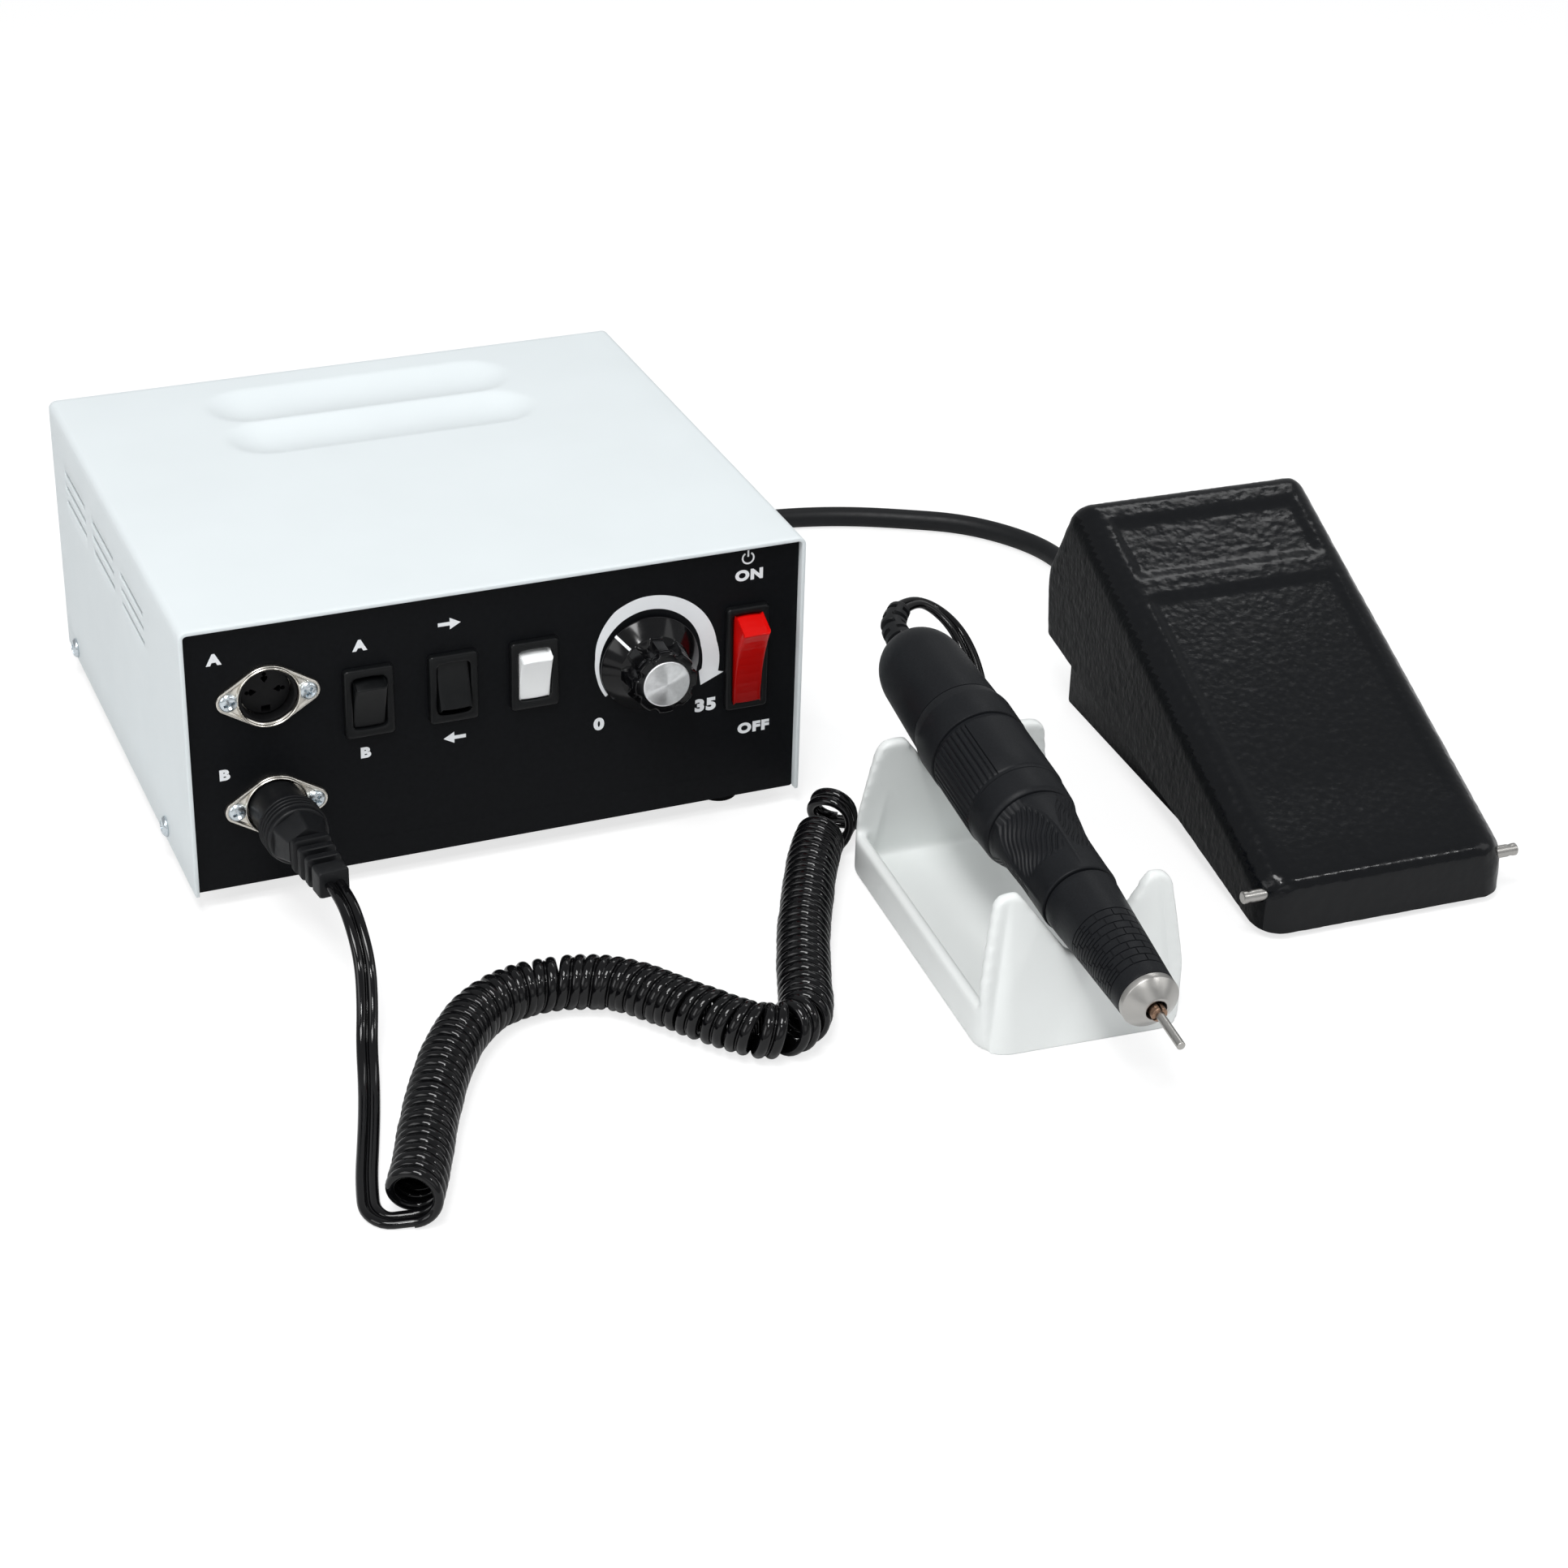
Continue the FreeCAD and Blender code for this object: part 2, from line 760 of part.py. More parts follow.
def make_speed_pot():
    """Potentiometer behind the panel with a threaded bush and its nut in front."""
    back = panel_face - flange_back
    body = rod(pot_body_radius, Vector(back - pot_body_depth, 0, 0), Vector(back, 0, 0))
    bush = rod(pot_bush_radius, Vector(back, 0, 0), Vector(pot_nut_height, 0, 0))
    nut = hex_prism(pot_nut_radius, 0, pot_nut_height - pot_bush_stand)
    bore_back = back - pot_body_depth / 2 - running_gap
    bore = rod(pot_shaft_radius + running_gap, Vector(bore_back, 0, 0), Vector(pot_body_depth, 0, 0))
    return facing_panel(body.fuse([bush, nut]).cut(bore).removeSplitter(), knob_place, panel_face)


def hex_prism(corner_radius, start, end):
    face = Part.Face(hexagon(start, corner_radius * math.sqrt(3)))
    return face.extrude(Vector(end - start, 0, 0))


# Rear fittings and the inside of the control unit


def make_mains_inlet():
    x, z = inlet_place
    rim = plate(inlet_place, inlet_flange, 3.0, rear_face, rear_face + 2.0)
    body = plate(inlet_place, inlet_body, 1.0, rear_face - inlet_depth - 1.5, rear_face)
    socket = plate(inlet_place, inlet_socket, 3.0, rear_face - inlet_depth, rear_face + 3)
    inlet = rim.fuse(body).cut(socket)
    width, height, length = inlet_blade
    for step in (-1, 0, 1):
        blade_x = x + step * inlet_blade_pitch
        blade_z = z + (2.0 if step == 0 else -2.0)
        blade = box(
            blade_x - width / 2,
            blade_x + width / 2,
            rear_face - inlet_depth,
            rear_face - inlet_depth + length,
            blade_z - height / 2,
            blade_z + height / 2,
        )
        inlet = inlet.fuse(blade)
    return inlet.removeSplitter()


def make_fuse_holder():
    collar_front = 3.0
    profile = [(-fuse_body_depth, 0), (-fuse_body_depth, fuse_radius), (0, fuse_radius)]
    profile += [(0, fuse_collar_radius), (collar_front, fuse_collar_radius), (collar_front, fuse_radius)]
    profile += [(collar_front - 2.0, fuse_radius), (collar_front - 2.0, 0)]
    return facing_back(turned(profile), fuse_place, rear_face)


def make_fuse_cap():
    """Screwdriver cap that turns out of the fuse holder."""
    cap = rod(fuse_radius - running_gap, Vector(1.0 + running_gap, 0, 0), Vector(6.0, 0, 0))
    cap = cap.cut(box(5.0, 7.0, -fuse_radius, fuse_radius, -0.6, 0.6))
    return facing_back(cap, fuse_place, rear_face)


def make_unit_gland():
    """Cord gland: hexagonal nut, dome and a neck through the rear panel."""
    nut = hex_prism(gland_nut_radius, 0, gland_nut_length)
    neck = rod(gland_neck_radius(), Vector(-8, 0, 0), Vector(0, 0, 0))
    end = gland_nut_length + gland_dome_length
    dome = turned(
        [(gland_nut_length - 1, 0), (gland_nut_length - 1, gland_nut_radius - 1.2)]
        + [(end, pedal_cord_diameter / 2 + 1.4), (end, 0)]
    )
    gland = nut.fuse([neck, dome])
    return facing_back(gland.removeSplitter(), unit_gland_place, rear_face)


def unit_gland_end():
    x, z = unit_gland_place
    return Vector(x, rear_face + gland_nut_length + gland_dome_length, z)


def centred_box(place, size, bottom):
    """Box of a size centred on a place in plan."""
    x, y = place
    return box(x - size[0] / 2, x + size[0] / 2, y - size[1] / 2, y + size[1] / 2, bottom, bottom + size[2])


def make_transformer():
    floor = cover_bottom + chassis_sheet
    core_bottom = floor + transformer_foot[2]
    core = centred_box(transformer_place, transformer_core, core_bottom)
    lift = (transformer_core[2] - transformer_winding[2]) / 2
    winding = centred_box(transformer_place, transformer_winding, core_bottom + lift)
    foot = centred_box(transformer_place, transformer_foot, floor)
    return core.fuse([winding, foot]).removeSplitter()


def make_circuit_board():
    """Board on four pillars with its tall components."""
    floor = cover_bottom + chassis_sheet
    x, y = board_place
    width, depth, thickness = board_size
    bottom = floor + board_height
    board = box(x, x + width, y, y + depth, bottom, bottom + thickness)
    inset = board_post_inset
    parts = []
    for post_x in (x + inset, x + width - inset):
        for post_y in (y + inset, y + depth - inset):
            foot = Vector(post_x, post_y, floor)
            parts.append(rod(board_post_radius, foot, foot + Vector(0, 0, board_height)))
    top = bottom + thickness
    for place_x, place_y in capacitor_places:
        foot = Vector(x + place_x, y + place_y, top)
        parts.append(rod(capacitor_radius, foot, foot + Vector(0, 0, capacitor_height)))
    for size, place in ((heat_sink, heat_sink_place), (relay, relay_place)):
        parts.append(centred_box((x + place[0], y + place[1]), size, top))
    return board.fuse(parts).removeSplitter()


# Cradle, built in its own corner frame with Y running back along it


def cradle_to_world(solid):
    placed = solid.copy()
    placed.rotate(Vector(0, 0, 0), Vector(0, 0, 1), cradle_turn)
    placed.translate(Vector(cradle_corner[0], cradle_corner[1], 0))
    return placed


def handpiece_direction():
    """Unit vector of the handpiece's axis towards its nose, in the cradle's frame."""
    turn = math.radians(handpiece_turn)
    dip = math.radians(handpiece_dip)
    return Vector(math.sin(turn) * math.cos(dip), -math.cos(turn) * math.cos(dip), -math.sin(dip))


def handpiece_axis_at(depth):
    """Point of the handpiece's axis at a depth in the cradle, and its place along the handpiece."""
    seat = Vector(front_seat_across, front_seat_back, front_seat_height)
    direction = handpiece_direction()
    reach = (depth - seat.y) / direction.y
    return seat + direction * reach, front_seat_along + reach


def notch(depth, outer_radius):
    """V-shaped cutter with a rounded foot for the handpiece to lie in."""
    centre, _ = handpiece_axis_at(depth)
    half_angle = math.radians(notch_half_angle)
    apex = centre.z - (outer_radius + handpiece_seat_gap) / math.sin(half_angle)
    top = cradle_prong_height + 10
    spread = (top - apex) * math.tan(half_angle)
    corners = [(centre.x, apex), (centre.x + spread, top), (centre.x - spread, top)]
    return front_prism(corners, [notch_round, 0, 0], depth - 14, depth + 14)


def end_wall(foot, leans_back):
    """Leaning end wall with its two prongs, as a slanted slab trimmed to the prongs' outline."""
    side = -1 if leans_back else 1
    shift = side * cradle_prong_height * math.tan(math.radians(cradle_lean))
    thickness = side * cradle_end_wall
    slab = side_prism(
        [
            (foot, 0),
            (foot + thickness, 0),
            (foot + thickness + shift, cradle_prong_height),
            (foot + shift, cradle_prong_height),
        ],
        [0, 0, 0, 0],
        0,
        cradle_width,
    )
    right = cradle_width
    inset = cradle_prong_inset
    corners = [(0, 0), (right, 0), (right, cradle_shoulder_height), (right - inset, cradle_prong_height)]
    corners += [(inset, cradle_prong_height), (0, cradle_shoulder_height)]
    shoulder = cradle_shoulder_round
    rounds = [0, 0, shoulder, cradle_prong_round, cradle_prong_round, shoulder]
    beyond = cradle_end_wall
    return slab.common(front_prism(corners, rounds, -beyond, cradle_length + beyond))


def make_cradle():
    floor = box(0, cradle_width, 0, cradle_length, 0, cradle_floor)
    left = box(0, cradle_side_wall, 0, cradle_length, 0, cradle_side_height)
    right = box(cradle_width - cradle_side_wall, cradle_width, 0, cradle_length, 0, cradle_side_height)
    front_wall = end_wall(0, False)
    rear_wall = end_wall(cradle_length, True)
    top = cradle_prong_height
    lean = top * math.tan(math.radians(cradle_lean))
    trim = side_prism(
        [(0, 0), (cradle_length, 0), (cradle_length - lean, top), (lean, top)],
        [0, 0, 0, 0],
        -1,
        cradle_width + 1,
    )
    cradle = floor.fuse([left, right]).common(trim).fuse([front_wall, rear_wall])
    for depth in (front_notch_depth(), rear_notch_depth()):
        _, along = handpiece_axis_at(depth)
        cradle = cradle.cut(notch(depth, widest_near(along)))
    return cradle_to_world(cradle.removeSplitter())


def front_notch_depth():
    return front_seat_height * math.tan(math.radians(cradle_lean)) + cradle_end_wall / 2


def rear_notch_depth():
    height = front_seat_height + math.tan(math.radians(handpiece_dip)) * cradle_length * 0.8
    lean = min(height, cradle_prong_height) * math.tan(math.radians(cradle_lean))
    return cradle_length - lean - cradle_end_wall / 2


def widest_near(along):
    """Largest radius of the handpiece over the thickness of an end wall."""
    half = cradle_end_wall / 2 + 0.5
    return max(radius_at(along - half), radius_at(along), radius_at(along + half))


def handpiece_stations():
    """Places along the handpiece with its outside radius there."""
    return [
        (0, cap_back_radius),
        (cap_shoulder_along, cap_shoulder_radius),
        (cap_length, cap_front_radius),
        (collar_start + collar_chamfer, collar_radius),
        (motor_start, collar_radius),
        (mid_collar_start, mid_collar_back),
        (sleeve_start, mid_collar_front),
        (sleeve_start + sleeve_length, sleeve_front_radius),
        (grip_start, grip_back_radius),
        (grip_end, grip_front_radius),
    ]


def radius_at(along):
    """Outside radius of the handpiece at a place along it."""
    stations = handpiece_stations()
    for (start, start_radius), (end, end_radius) in zip(stations, stations[1:]):
        if along <= end:
            return start_radius + (end_radius - start_radius) * (along - start) / (end - start)
    return grip_front_radius


# Handpiece, turned along +X from the back of its rear cap


def handpiece_to_world(solid):
    direction = handpiece_direction()
    up = Vector(0, 0, 1) - direction * direction.z
    up.normalize()
    across = up.cross(direction)
    rotation = FreeCAD.Rotation(direction, across, up, "XZY")
    seat = Vector(front_seat_across, front_seat_back, front_seat_height)
    placement = FreeCAD.Placement(seat - direction * front_seat_along, rotation)
    placed = solid.copy()
    placed.Placement = placement
    return cradle_to_world(placed)


def cradle_point_to_world(point):
    turned_point = FreeCAD.Rotation(Vector(0, 0, 1), cradle_turn).multVec(point)
    return turned_point + Vector(cradle_corner[0], cradle_corner[1], 0)


def handpiece_point(along):
    """World place of a point on the handpiece's axis."""
    seat = Vector(front_seat_across, front_seat_back, front_seat_height)
    return cradle_point_to_world(seat + handpiece_direction() * (along - front_seat_along))


collar_start = cap_length
motor_start = collar_start + collar_length
mid_collar_start = motor_start + motor_length
mid_collar_end = mid_collar_start + mid_collar_length
grip_end = grip_start + grip_length
nose_end = grip_end + nose_length


def make_strain_relief():
    pitch = relief_length / (relief_grooves + 1)
    points = [(0, 0), (0, relief_front_radius)]
    for i in range(relief_grooves):
        share = (i + 0.7) / (relief_grooves + 0.7)
        radius = relief_front_radius + (relief_back_radius - relief_front_radius) * share
        groove = -pitch * (i + 0.7)
        points += [(groove, radius), (groove, radius - relief_groove_depth)]
        points += [(groove - pitch * 0.4, radius - relief_groove_depth), (groove - pitch * 0.4, radius)]
    points += [(-relief_length, relief_back_radius), (-relief_length, 0)]
    return turned(points)


def make_rear_cap():
    """Domed cap: a flat back, a dome of short cones and a slow taper, hollow for the brushes."""
    room_radius = cap_shoulder_radius - cap_wall
    points = [(0, 0), (0, cap_back_radius)]
    rise = cap_shoulder_radius - cap_back_radius
    for i in range(1, dome_steps + 1):
        angle = math.radians(90 * i / dome_steps)
        along = cap_shoulder_along * (1 - math.cos(angle))
        points.append((along, cap_back_radius + rise * math.sin(angle)))
    points += [(cap_length, cap_front_radius), (cap_length, room_radius)]
    points += [(cap_shoulder_along, room_radius), (cap_shoulder_along, 0)]
    return turned(points)


def make_rear_collar():
    end = motor_start
    bearing_seat = rear_bearing_start + bearing_length
    bearing_bore = bearing_radius() + seat_gap
    return turned(
        [
            (collar_start, cap_front_radius),
            (collar_start + collar_chamfer, collar_radius),
            (end, collar_radius - 0.2),
            (end, motor_bore),
            (bearing_seat, motor_bore),
            (bearing_seat, bearing_bore),
            (rear_bearing_start, bearing_bore),
            (rear_bearing_start, shaft_radius + 1.5),
            (collar_start + 2, shaft_radius + 1.5),
            (collar_start + 2, cap_shoulder_radius - cap_wall),
            (collar_start, cap_shoulder_radius - cap_wall),
        ]
    )


def bearing_radius():
    return core_bore - seat_gap


def make_bearing(start):
    inner = shaft_radius + running_gap
    outer = bearing_radius()
    end = start + bearing_length
    return turned([(start, inner), (start, outer), (end, outer), (end, inner)])


def make_motor_body():
    return turned(
        [
            (motor_start, motor_bore),
            (motor_start, motor_radius),
            (mid_collar_start, motor_radius),
            (mid_collar_start, motor_bore),
        ]
    )


def make_mid_collar():
    bore = core_rear_radius + seat_gap
    seat = mid_collar_end - core_seat_depth
    return turned(
        [
            (mid_collar_start, motor_bore),
            (mid_collar_start, mid_collar_back),
            (mid_collar_end - 1.5, mid_collar_back - 0.45),
            (mid_collar_end, mid_collar_front),
            (mid_collar_end, bore),
            (seat, bore),
            (seat, motor_bore),
        ]
    )


def make_core_tube():
    """Stepped tube that carries the twist sleeve and the front grip."""
    start = mid_collar_end - core_seat_depth
    step = grip_start
    end = grip_end - open_gap
    return turned(
        [
            (start, core_bore),
            (start, core_rear_radius),
            (step, core_rear_radius),
            (step, core_front_radius),
            (end, core_front_radius),
            (end, core_bore),
        ]
    )


def make_twist_sleeve():
    bore = core_rear_radius + running_gap
    end = sleeve_start + sleeve_length
    return turned(
        [
            (sleeve_start, bore),
            (sleeve_start, sleeve_back_radius),
            (sleeve_start + 2.5, sleeve_neck_radius),
            (end, sleeve_front_radius),
            (end, bore),
        ]
    )


def make_front_grip():
    bore = core_front_radius + seat_gap
    waist = grip_start + grip_length * 0.36
    return turned(
        [
            (grip_start, bore),
            (grip_start, grip_back_radius),
            (waist, grip_waist_radius),
            (grip_end, grip_front_radius),
            (grip_end, bore),
        ]
    )


def make_nose_cone():
    shoulder = grip_end + nose_shoulder
    room = nose_end - 1.6
    return turned(
        [
            (grip_end, core_bore),
            (grip_end, grip_front_radius),
            (shoulder, grip_front_radius),
            (nose_end, nose_face_radius),
            (nose_end, nose_bore),
            (room, nose_bore),
            (room, core_bore - 1.2),
            (room - 1.2, core_bore),
        ]
    )


def make_spindle():
    """Armature on its shaft, bored at the front for the collet."""
    rotor_start = motor_start + rotor_end_gap
    rotor_end = mid_collar_start - rotor_end_gap
    collet_bore = collet_radius + seat_gap
    bore_start = collet_start - 1
    return turned(
        [
            (shaft_rear, 0),
            (shaft_rear, shaft_radius),
            (rotor_start, shaft_radius),
            (rotor_start, rotor_radius),
            (rotor_end, rotor_radius),
            (rotor_end, shaft_radius),
            (shaft_front, shaft_radius),
            (shaft_front, collet_bore),
            (bore_start, collet_bore),
            (bore_start, 0),
        ]
    )


def make_collet():
    """Split collet that grips the tool's shank."""
    bore = mandrel_radius + 0.5 * running_gap
    outline = [(collet_start, bore), (collet_start, collet_radius)]
    outline += [(collet_end, collet_radius), (collet_end, bore)]
    sleeve = turned(outline)
    for i in range(3):
        half = collet_slot / 2
        slot = box(collet_slot_start, collet_end + 1, 0, collet_radius + 1, -half, half)
        slot.rotate(Vector(0, 0, 0), Vector(1, 0, 0), 120 * i + 90)
        sleeve = sleeve.cut(slot)
    return sleeve


def make_mandrel():
    tip = 0.3
    return turned(
        [
            (mandrel_start, 0),
            (mandrel_start, mandrel_radius),
            (mandrel_end - tip, mandrel_radius),
            (mandrel_end, mandrel_radius - tip),
            (mandrel_end, 0),
        ]
    )


# Foot pedal, built in its own corner frame with Y running back along it


def pedal_to_world(solid):
    placed = solid.copy()
    placed.rotate(Vector(0, 0, 0), Vector(0, 0, 1), pedal_turn)
    placed.translate(Vector(pedal_corner[0], pedal_corner[1], 0))
    return placed


def pedal_point_to_world(point):
    turned_point = FreeCAD.Rotation(Vector(0, 0, 1), pedal_turn).multVec(point)
    return turned_point + Vector(pedal_corner[0], pedal_corner[1], 0)


def treadle_slope():
    rise = treadle_rear_top[1] - treadle_front_top[1]
    run = treadle_rear_top[0] - treadle_front_top[0]
    return math.atan2(rise, run)


def treadle_outline(wall, front_wall, drop):
    """Side profile of the treadle moved inwards by its walls, open below by a drop."""
    slope = treadle_slope()
    across = wall / math.cos(slope)
    front_x = treadle_front_top[0] + front_wall
    return [
        (treadle_front_bottom[0] + front_wall, treadle_front_bottom[1] - drop),
        (front_x, treadle_front_top[1] - across + front_wall * math.tan(slope)),
        (treadle_rear_top[0] - wall * 0.6, treadle_rear_top[1] - across - wall * 0.6 * math.tan(slope)),
        (treadle_rear_mid[0] - wall, treadle_rear_mid[1] - wall * 0.3),
        (treadle_rear_bottom[0] - wall, treadle_rear_bottom[1] - drop),
        (treadle_skirt_front[0] + front_wall, treadle_skirt_front[1] - drop),
    ]


def treadle_room():
    """Space under the treadle, inside its walls."""
    rounds = [0, 2.5, 2.5, 8, 0, 0]
    left = treadle_wall
    right = treadle_width - treadle_wall
    return side_prism(treadle_outline(treadle_wall, treadle_front_wall, 4.0), rounds, left, right)


def on_slope(u0, u1, t0, t1, depth, corner):
    """Pocket of a depth in the treadle's sloping top, t measured up the slope."""
    corners = [(u0, t0), (u1, t0), (u1, t1), (u0, t1)]
    pocket = plan_prism(corners, [corner] * 4, -depth, 5)
    pocket.rotate(Vector(0, 0, 0), Vector(1, 0, 0), math.degrees(treadle_slope()))
    pocket.translate(Vector(0, treadle_front_top[0], treadle_front_top[1]))
    return pocket


def make_treadle():
    """Sloping shell with a bordered foot plate, a heel bar and a cord notch at the rear."""
    outer = side_prism(treadle_outline(0, 0, 0), [1, 5, treadle_edge_round, 10, 1, 0], 0, treadle_width)
    shell = outer.cut(treadle_room())
    left = treadle_border
    right = treadle_width - treadle_border
    recess = on_slope(left, right, treadle_border + 3, treadle_recess_end, treadle_recess_depth, 4)
    rear_end = slope_length() - treadle_border - 2
    pocket = on_slope(left, right, treadle_recess_end + heel_bar, rear_end, treadle_recess_depth, 4)
    shell = shell.cut([recess, pocket])
    v, z = pedal_pin_place
    pin_hole = rod(pedal_pin_radius + running_gap, Vector(-1, v, z), Vector(treadle_width + 1, v, z))
    shell = shell.cut(pin_hole)
    half = treadle_notch[0] / 2
    across = pedal_gland_across
    notch_top = treadle_rear_bottom[1] + treadle_notch[1]
    outline = frame_points((across, notch_top / 2), (2 * half, notch_top))
    notch_end = pedal_base_rear + treadle_notch_run
    cord_notch = front_prism(outline, [0, 0, 3, 3], pedal_base_rear, notch_end)
    return pedal_to_world(shell.cut(cord_notch).removeSplitter())


def slope_length():
    rise = treadle_rear_top[1] - treadle_front_top[1]
    run = treadle_rear_top[0] - treadle_front_top[0]
    return math.hypot(rise, run)


def base_profile(wall):
    """Side profile of the pedal's base, moved inwards by a wall."""
    slope = (pedal_base_rear_height - pedal_base_front_height) / (pedal_base_rear - pedal_base_front)
    return [
        (pedal_base_front + wall, 0 + wall),
        (pedal_base_rear - wall, 0 + wall),
        (pedal_base_rear - wall, pedal_base_rear_height + 20 * (wall > 0)),
        (pedal_base_front + wall, pedal_base_front_height + slope * wall + 20 * (wall > 0)),
    ]


def make_pedal_base():
    """Open tray with ears for the hinge pin and a bracket for the potentiometer."""
    left = pedal_base_inset
    right = treadle_width - pedal_base_inset
    tray = side_prism(base_profile(0), [1, 1, 2, 2], left, right)
    wall = pedal_base_wall
    tray = tray.cut(side_prism(base_profile(wall), [0, 0, 0, 0], left + wall, right - wall))
    pin_v, pin_z = pedal_pin_place
    for u0, u1 in ((left, left + wall), (right - wall, right)):
        ear = rod(pedal_ear_radius, Vector(u0, pin_v, pin_z), Vector(u1, pin_v, pin_z))
        strap = side_prism(
            [
                (pin_v - pedal_ear_radius * 0.35, pin_z - pedal_ear_radius * 0.9),
                (pedal_base_front + 14, 1.5),
                (pedal_base_front + 14, pedal_base_front_height),
                (pin_v + pedal_ear_radius * 0.6, pin_z + pedal_ear_radius * 0.75),
            ],
            [0, 0, 0, 0],
            u0,
            u1,
        )
        tray = tray.fuse([ear, strap])
    pin_end = Vector(treadle_width, pin_v, pin_z)
    tray = tray.cut(rod(pedal_pin_radius + seat_gap, Vector(0, pin_v, pin_z), pin_end))
    centre = pinion_centre()
    bracket_left = pedal_pot_across + pot_body_depth
    bracket = side_prism(
        [
            (centre.y - 9, wall / 2),
            (centre.y + 9, wall / 2),
            (centre.y + 9, centre.z + 6),
            (centre.y - 9, centre.z + 6),
        ],
        [0, 0, 4, 4],
        bracket_left,
        bracket_left + pedal_bracket,
    )
    bush = pot_bush_radius + seat_gap
    bush_start = Vector(bracket_left - 1, centre.y, centre.z)
    bracket = bracket.cut(rod(bush, bush_start, bush_start + Vector(10, 0, 0)))
    foot = spring_foot()
    seat = rod(spring_radius - spring_wire - 1, foot - Vector(0, 0, 1), foot + Vector(0, 0, spring_seat))
    cord_hole = rod(
        gland_neck_radius() + seat_gap,
        Vector(pedal_gland_across, pedal_base_rear - 10, pedal_gland_height),
        Vector(pedal_gland_across, pedal_base_rear + 10, pedal_gland_height),
    )
    return pedal_to_world(tray.fuse([bracket, seat]).cut(cord_hole).removeSplitter())


def spring_foot():
    return Vector(spring_place[0], spring_place[1], pedal_base_wall)


def make_hinge_pin():
    v, z = pedal_pin_place
    reach = pedal_pin_reach
    return pedal_to_world(rod(pedal_pin_radius, Vector(-reach, v, z), Vector(treadle_width + reach, v, z)))


def make_pedal_gland():
    """Grommet in the base's rear wall that the pedal cord comes out of."""
    end = pedal_base_rear + pedal_gland_reach
    x = pedal_gland_across
    z = pedal_gland_height
    neck = rod(gland_neck_radius(), Vector(x, pedal_base_rear - pedal_base_wall, z), Vector(x, end - 1, z))
    outer = rod(pedal_gland_radius + 0.8, Vector(x, pedal_base_rear, z), Vector(x, end, z))
    inner = rod(
        pedal_gland_radius + 0.8,
        Vector(x, pedal_base_rear - pedal_base_wall - 2, z),
        Vector(x, pedal_base_rear - pedal_base_wall, z),
    )
    return pedal_to_world(neck.fuse([outer, inner]).removeSplitter())


def pedal_gland_end():
    end = Vector(pedal_gland_across, pedal_base_rear + pedal_gland_reach, pedal_gland_height)
    return pedal_point_to_world(end)


def sector_radius():
    return gear_module * sector_teeth_round / 2


def pinion_radius():
    return gear_module * pinion_teeth / 2


def pinion_centre():
    """Place of the pinion's axis in the pedal's frame."""
    v, z = pedal_pin_place
    distance = sector_radius() + pinion_radius()
    angle = math.radians(pinion_angle)
    middle = sector_across + sector_width / 2
    return Vector(middle, v + distance * math.cos(angle), z + distance * math.sin(angle))


def make_sector():
    """Toothed sector on a web that hangs from the underside of the treadle."""
    v, z = pedal_pin_place
    pitch_radius = sector_radius()
    tooth_angle = 360 / sector_teeth_round
    root = pitch_radius - tooth_dedendum * gear_module
    tip = pitch_radius + tooth_addendum * gear_module
    half_pitch = math.pi * gear_module / 4 - gear_backlash / 4
    lean = math.tan(math.radians(pressure_angle))
    points = []
    for i in range(sector_teeth):
        middle = pinion_angle + (i - 1) * tooth_angle
        for radius, side in ((root, -1), (tip, -1), (tip, 1), (root, 1)):
            half = half_pitch - (radius - pitch_radius) * lean
            angle = math.radians(middle) + side * half / radius
            points.append(Vector(sector_across, v + radius * math.cos(angle), z + radius * math.sin(angle)))
    inner = root - sector_depth
    first = math.radians(pinion_angle - 2.2 * tooth_angle)
    last = math.radians(pinion_angle + (sector_teeth - 0.5) * tooth_angle)
    middle = (first + last) / 2
    for radius, angle in ((root, last), (inner, last), (inner, middle), (inner, first), (root, first)):
        points.append(Vector(sector_across, v + radius * math.cos(angle), z + radius * math.sin(angle)))
    rim = Part.Face(Part.makePolygon(points + points[:1])).extrude(Vector(sector_width, 0, 0))
    web_top = math.radians(sector_web_top)
    web_inner = inner - sector_web_depth
    corners = []
    for radius, angle in ((web_inner, middle), (root - 1, middle), (root - 1, web_top), (web_inner, web_top)):
        corners.append((v + radius * math.cos(angle), z + radius * math.sin(angle)))
    web = side_prism(corners, [0, 0, 0, 0], sector_across, sector_across + sector_width)
    sector = rim.fuse(web).common(treadle_room())
    return pedal_to_world(sector.removeSplitter())


def involute_point(base, roll, start):
    """Point of an involute of a base circle at a roll angle, turned by a start angle."""
    x = base * (math.cos(roll) + roll * math.sin(roll))
    y = base * (math.sin(roll) - roll * math.cos(roll))
    return (x * math.cos(start) - y * math.sin(start), x * math.sin(start) + y * math.cos(start))


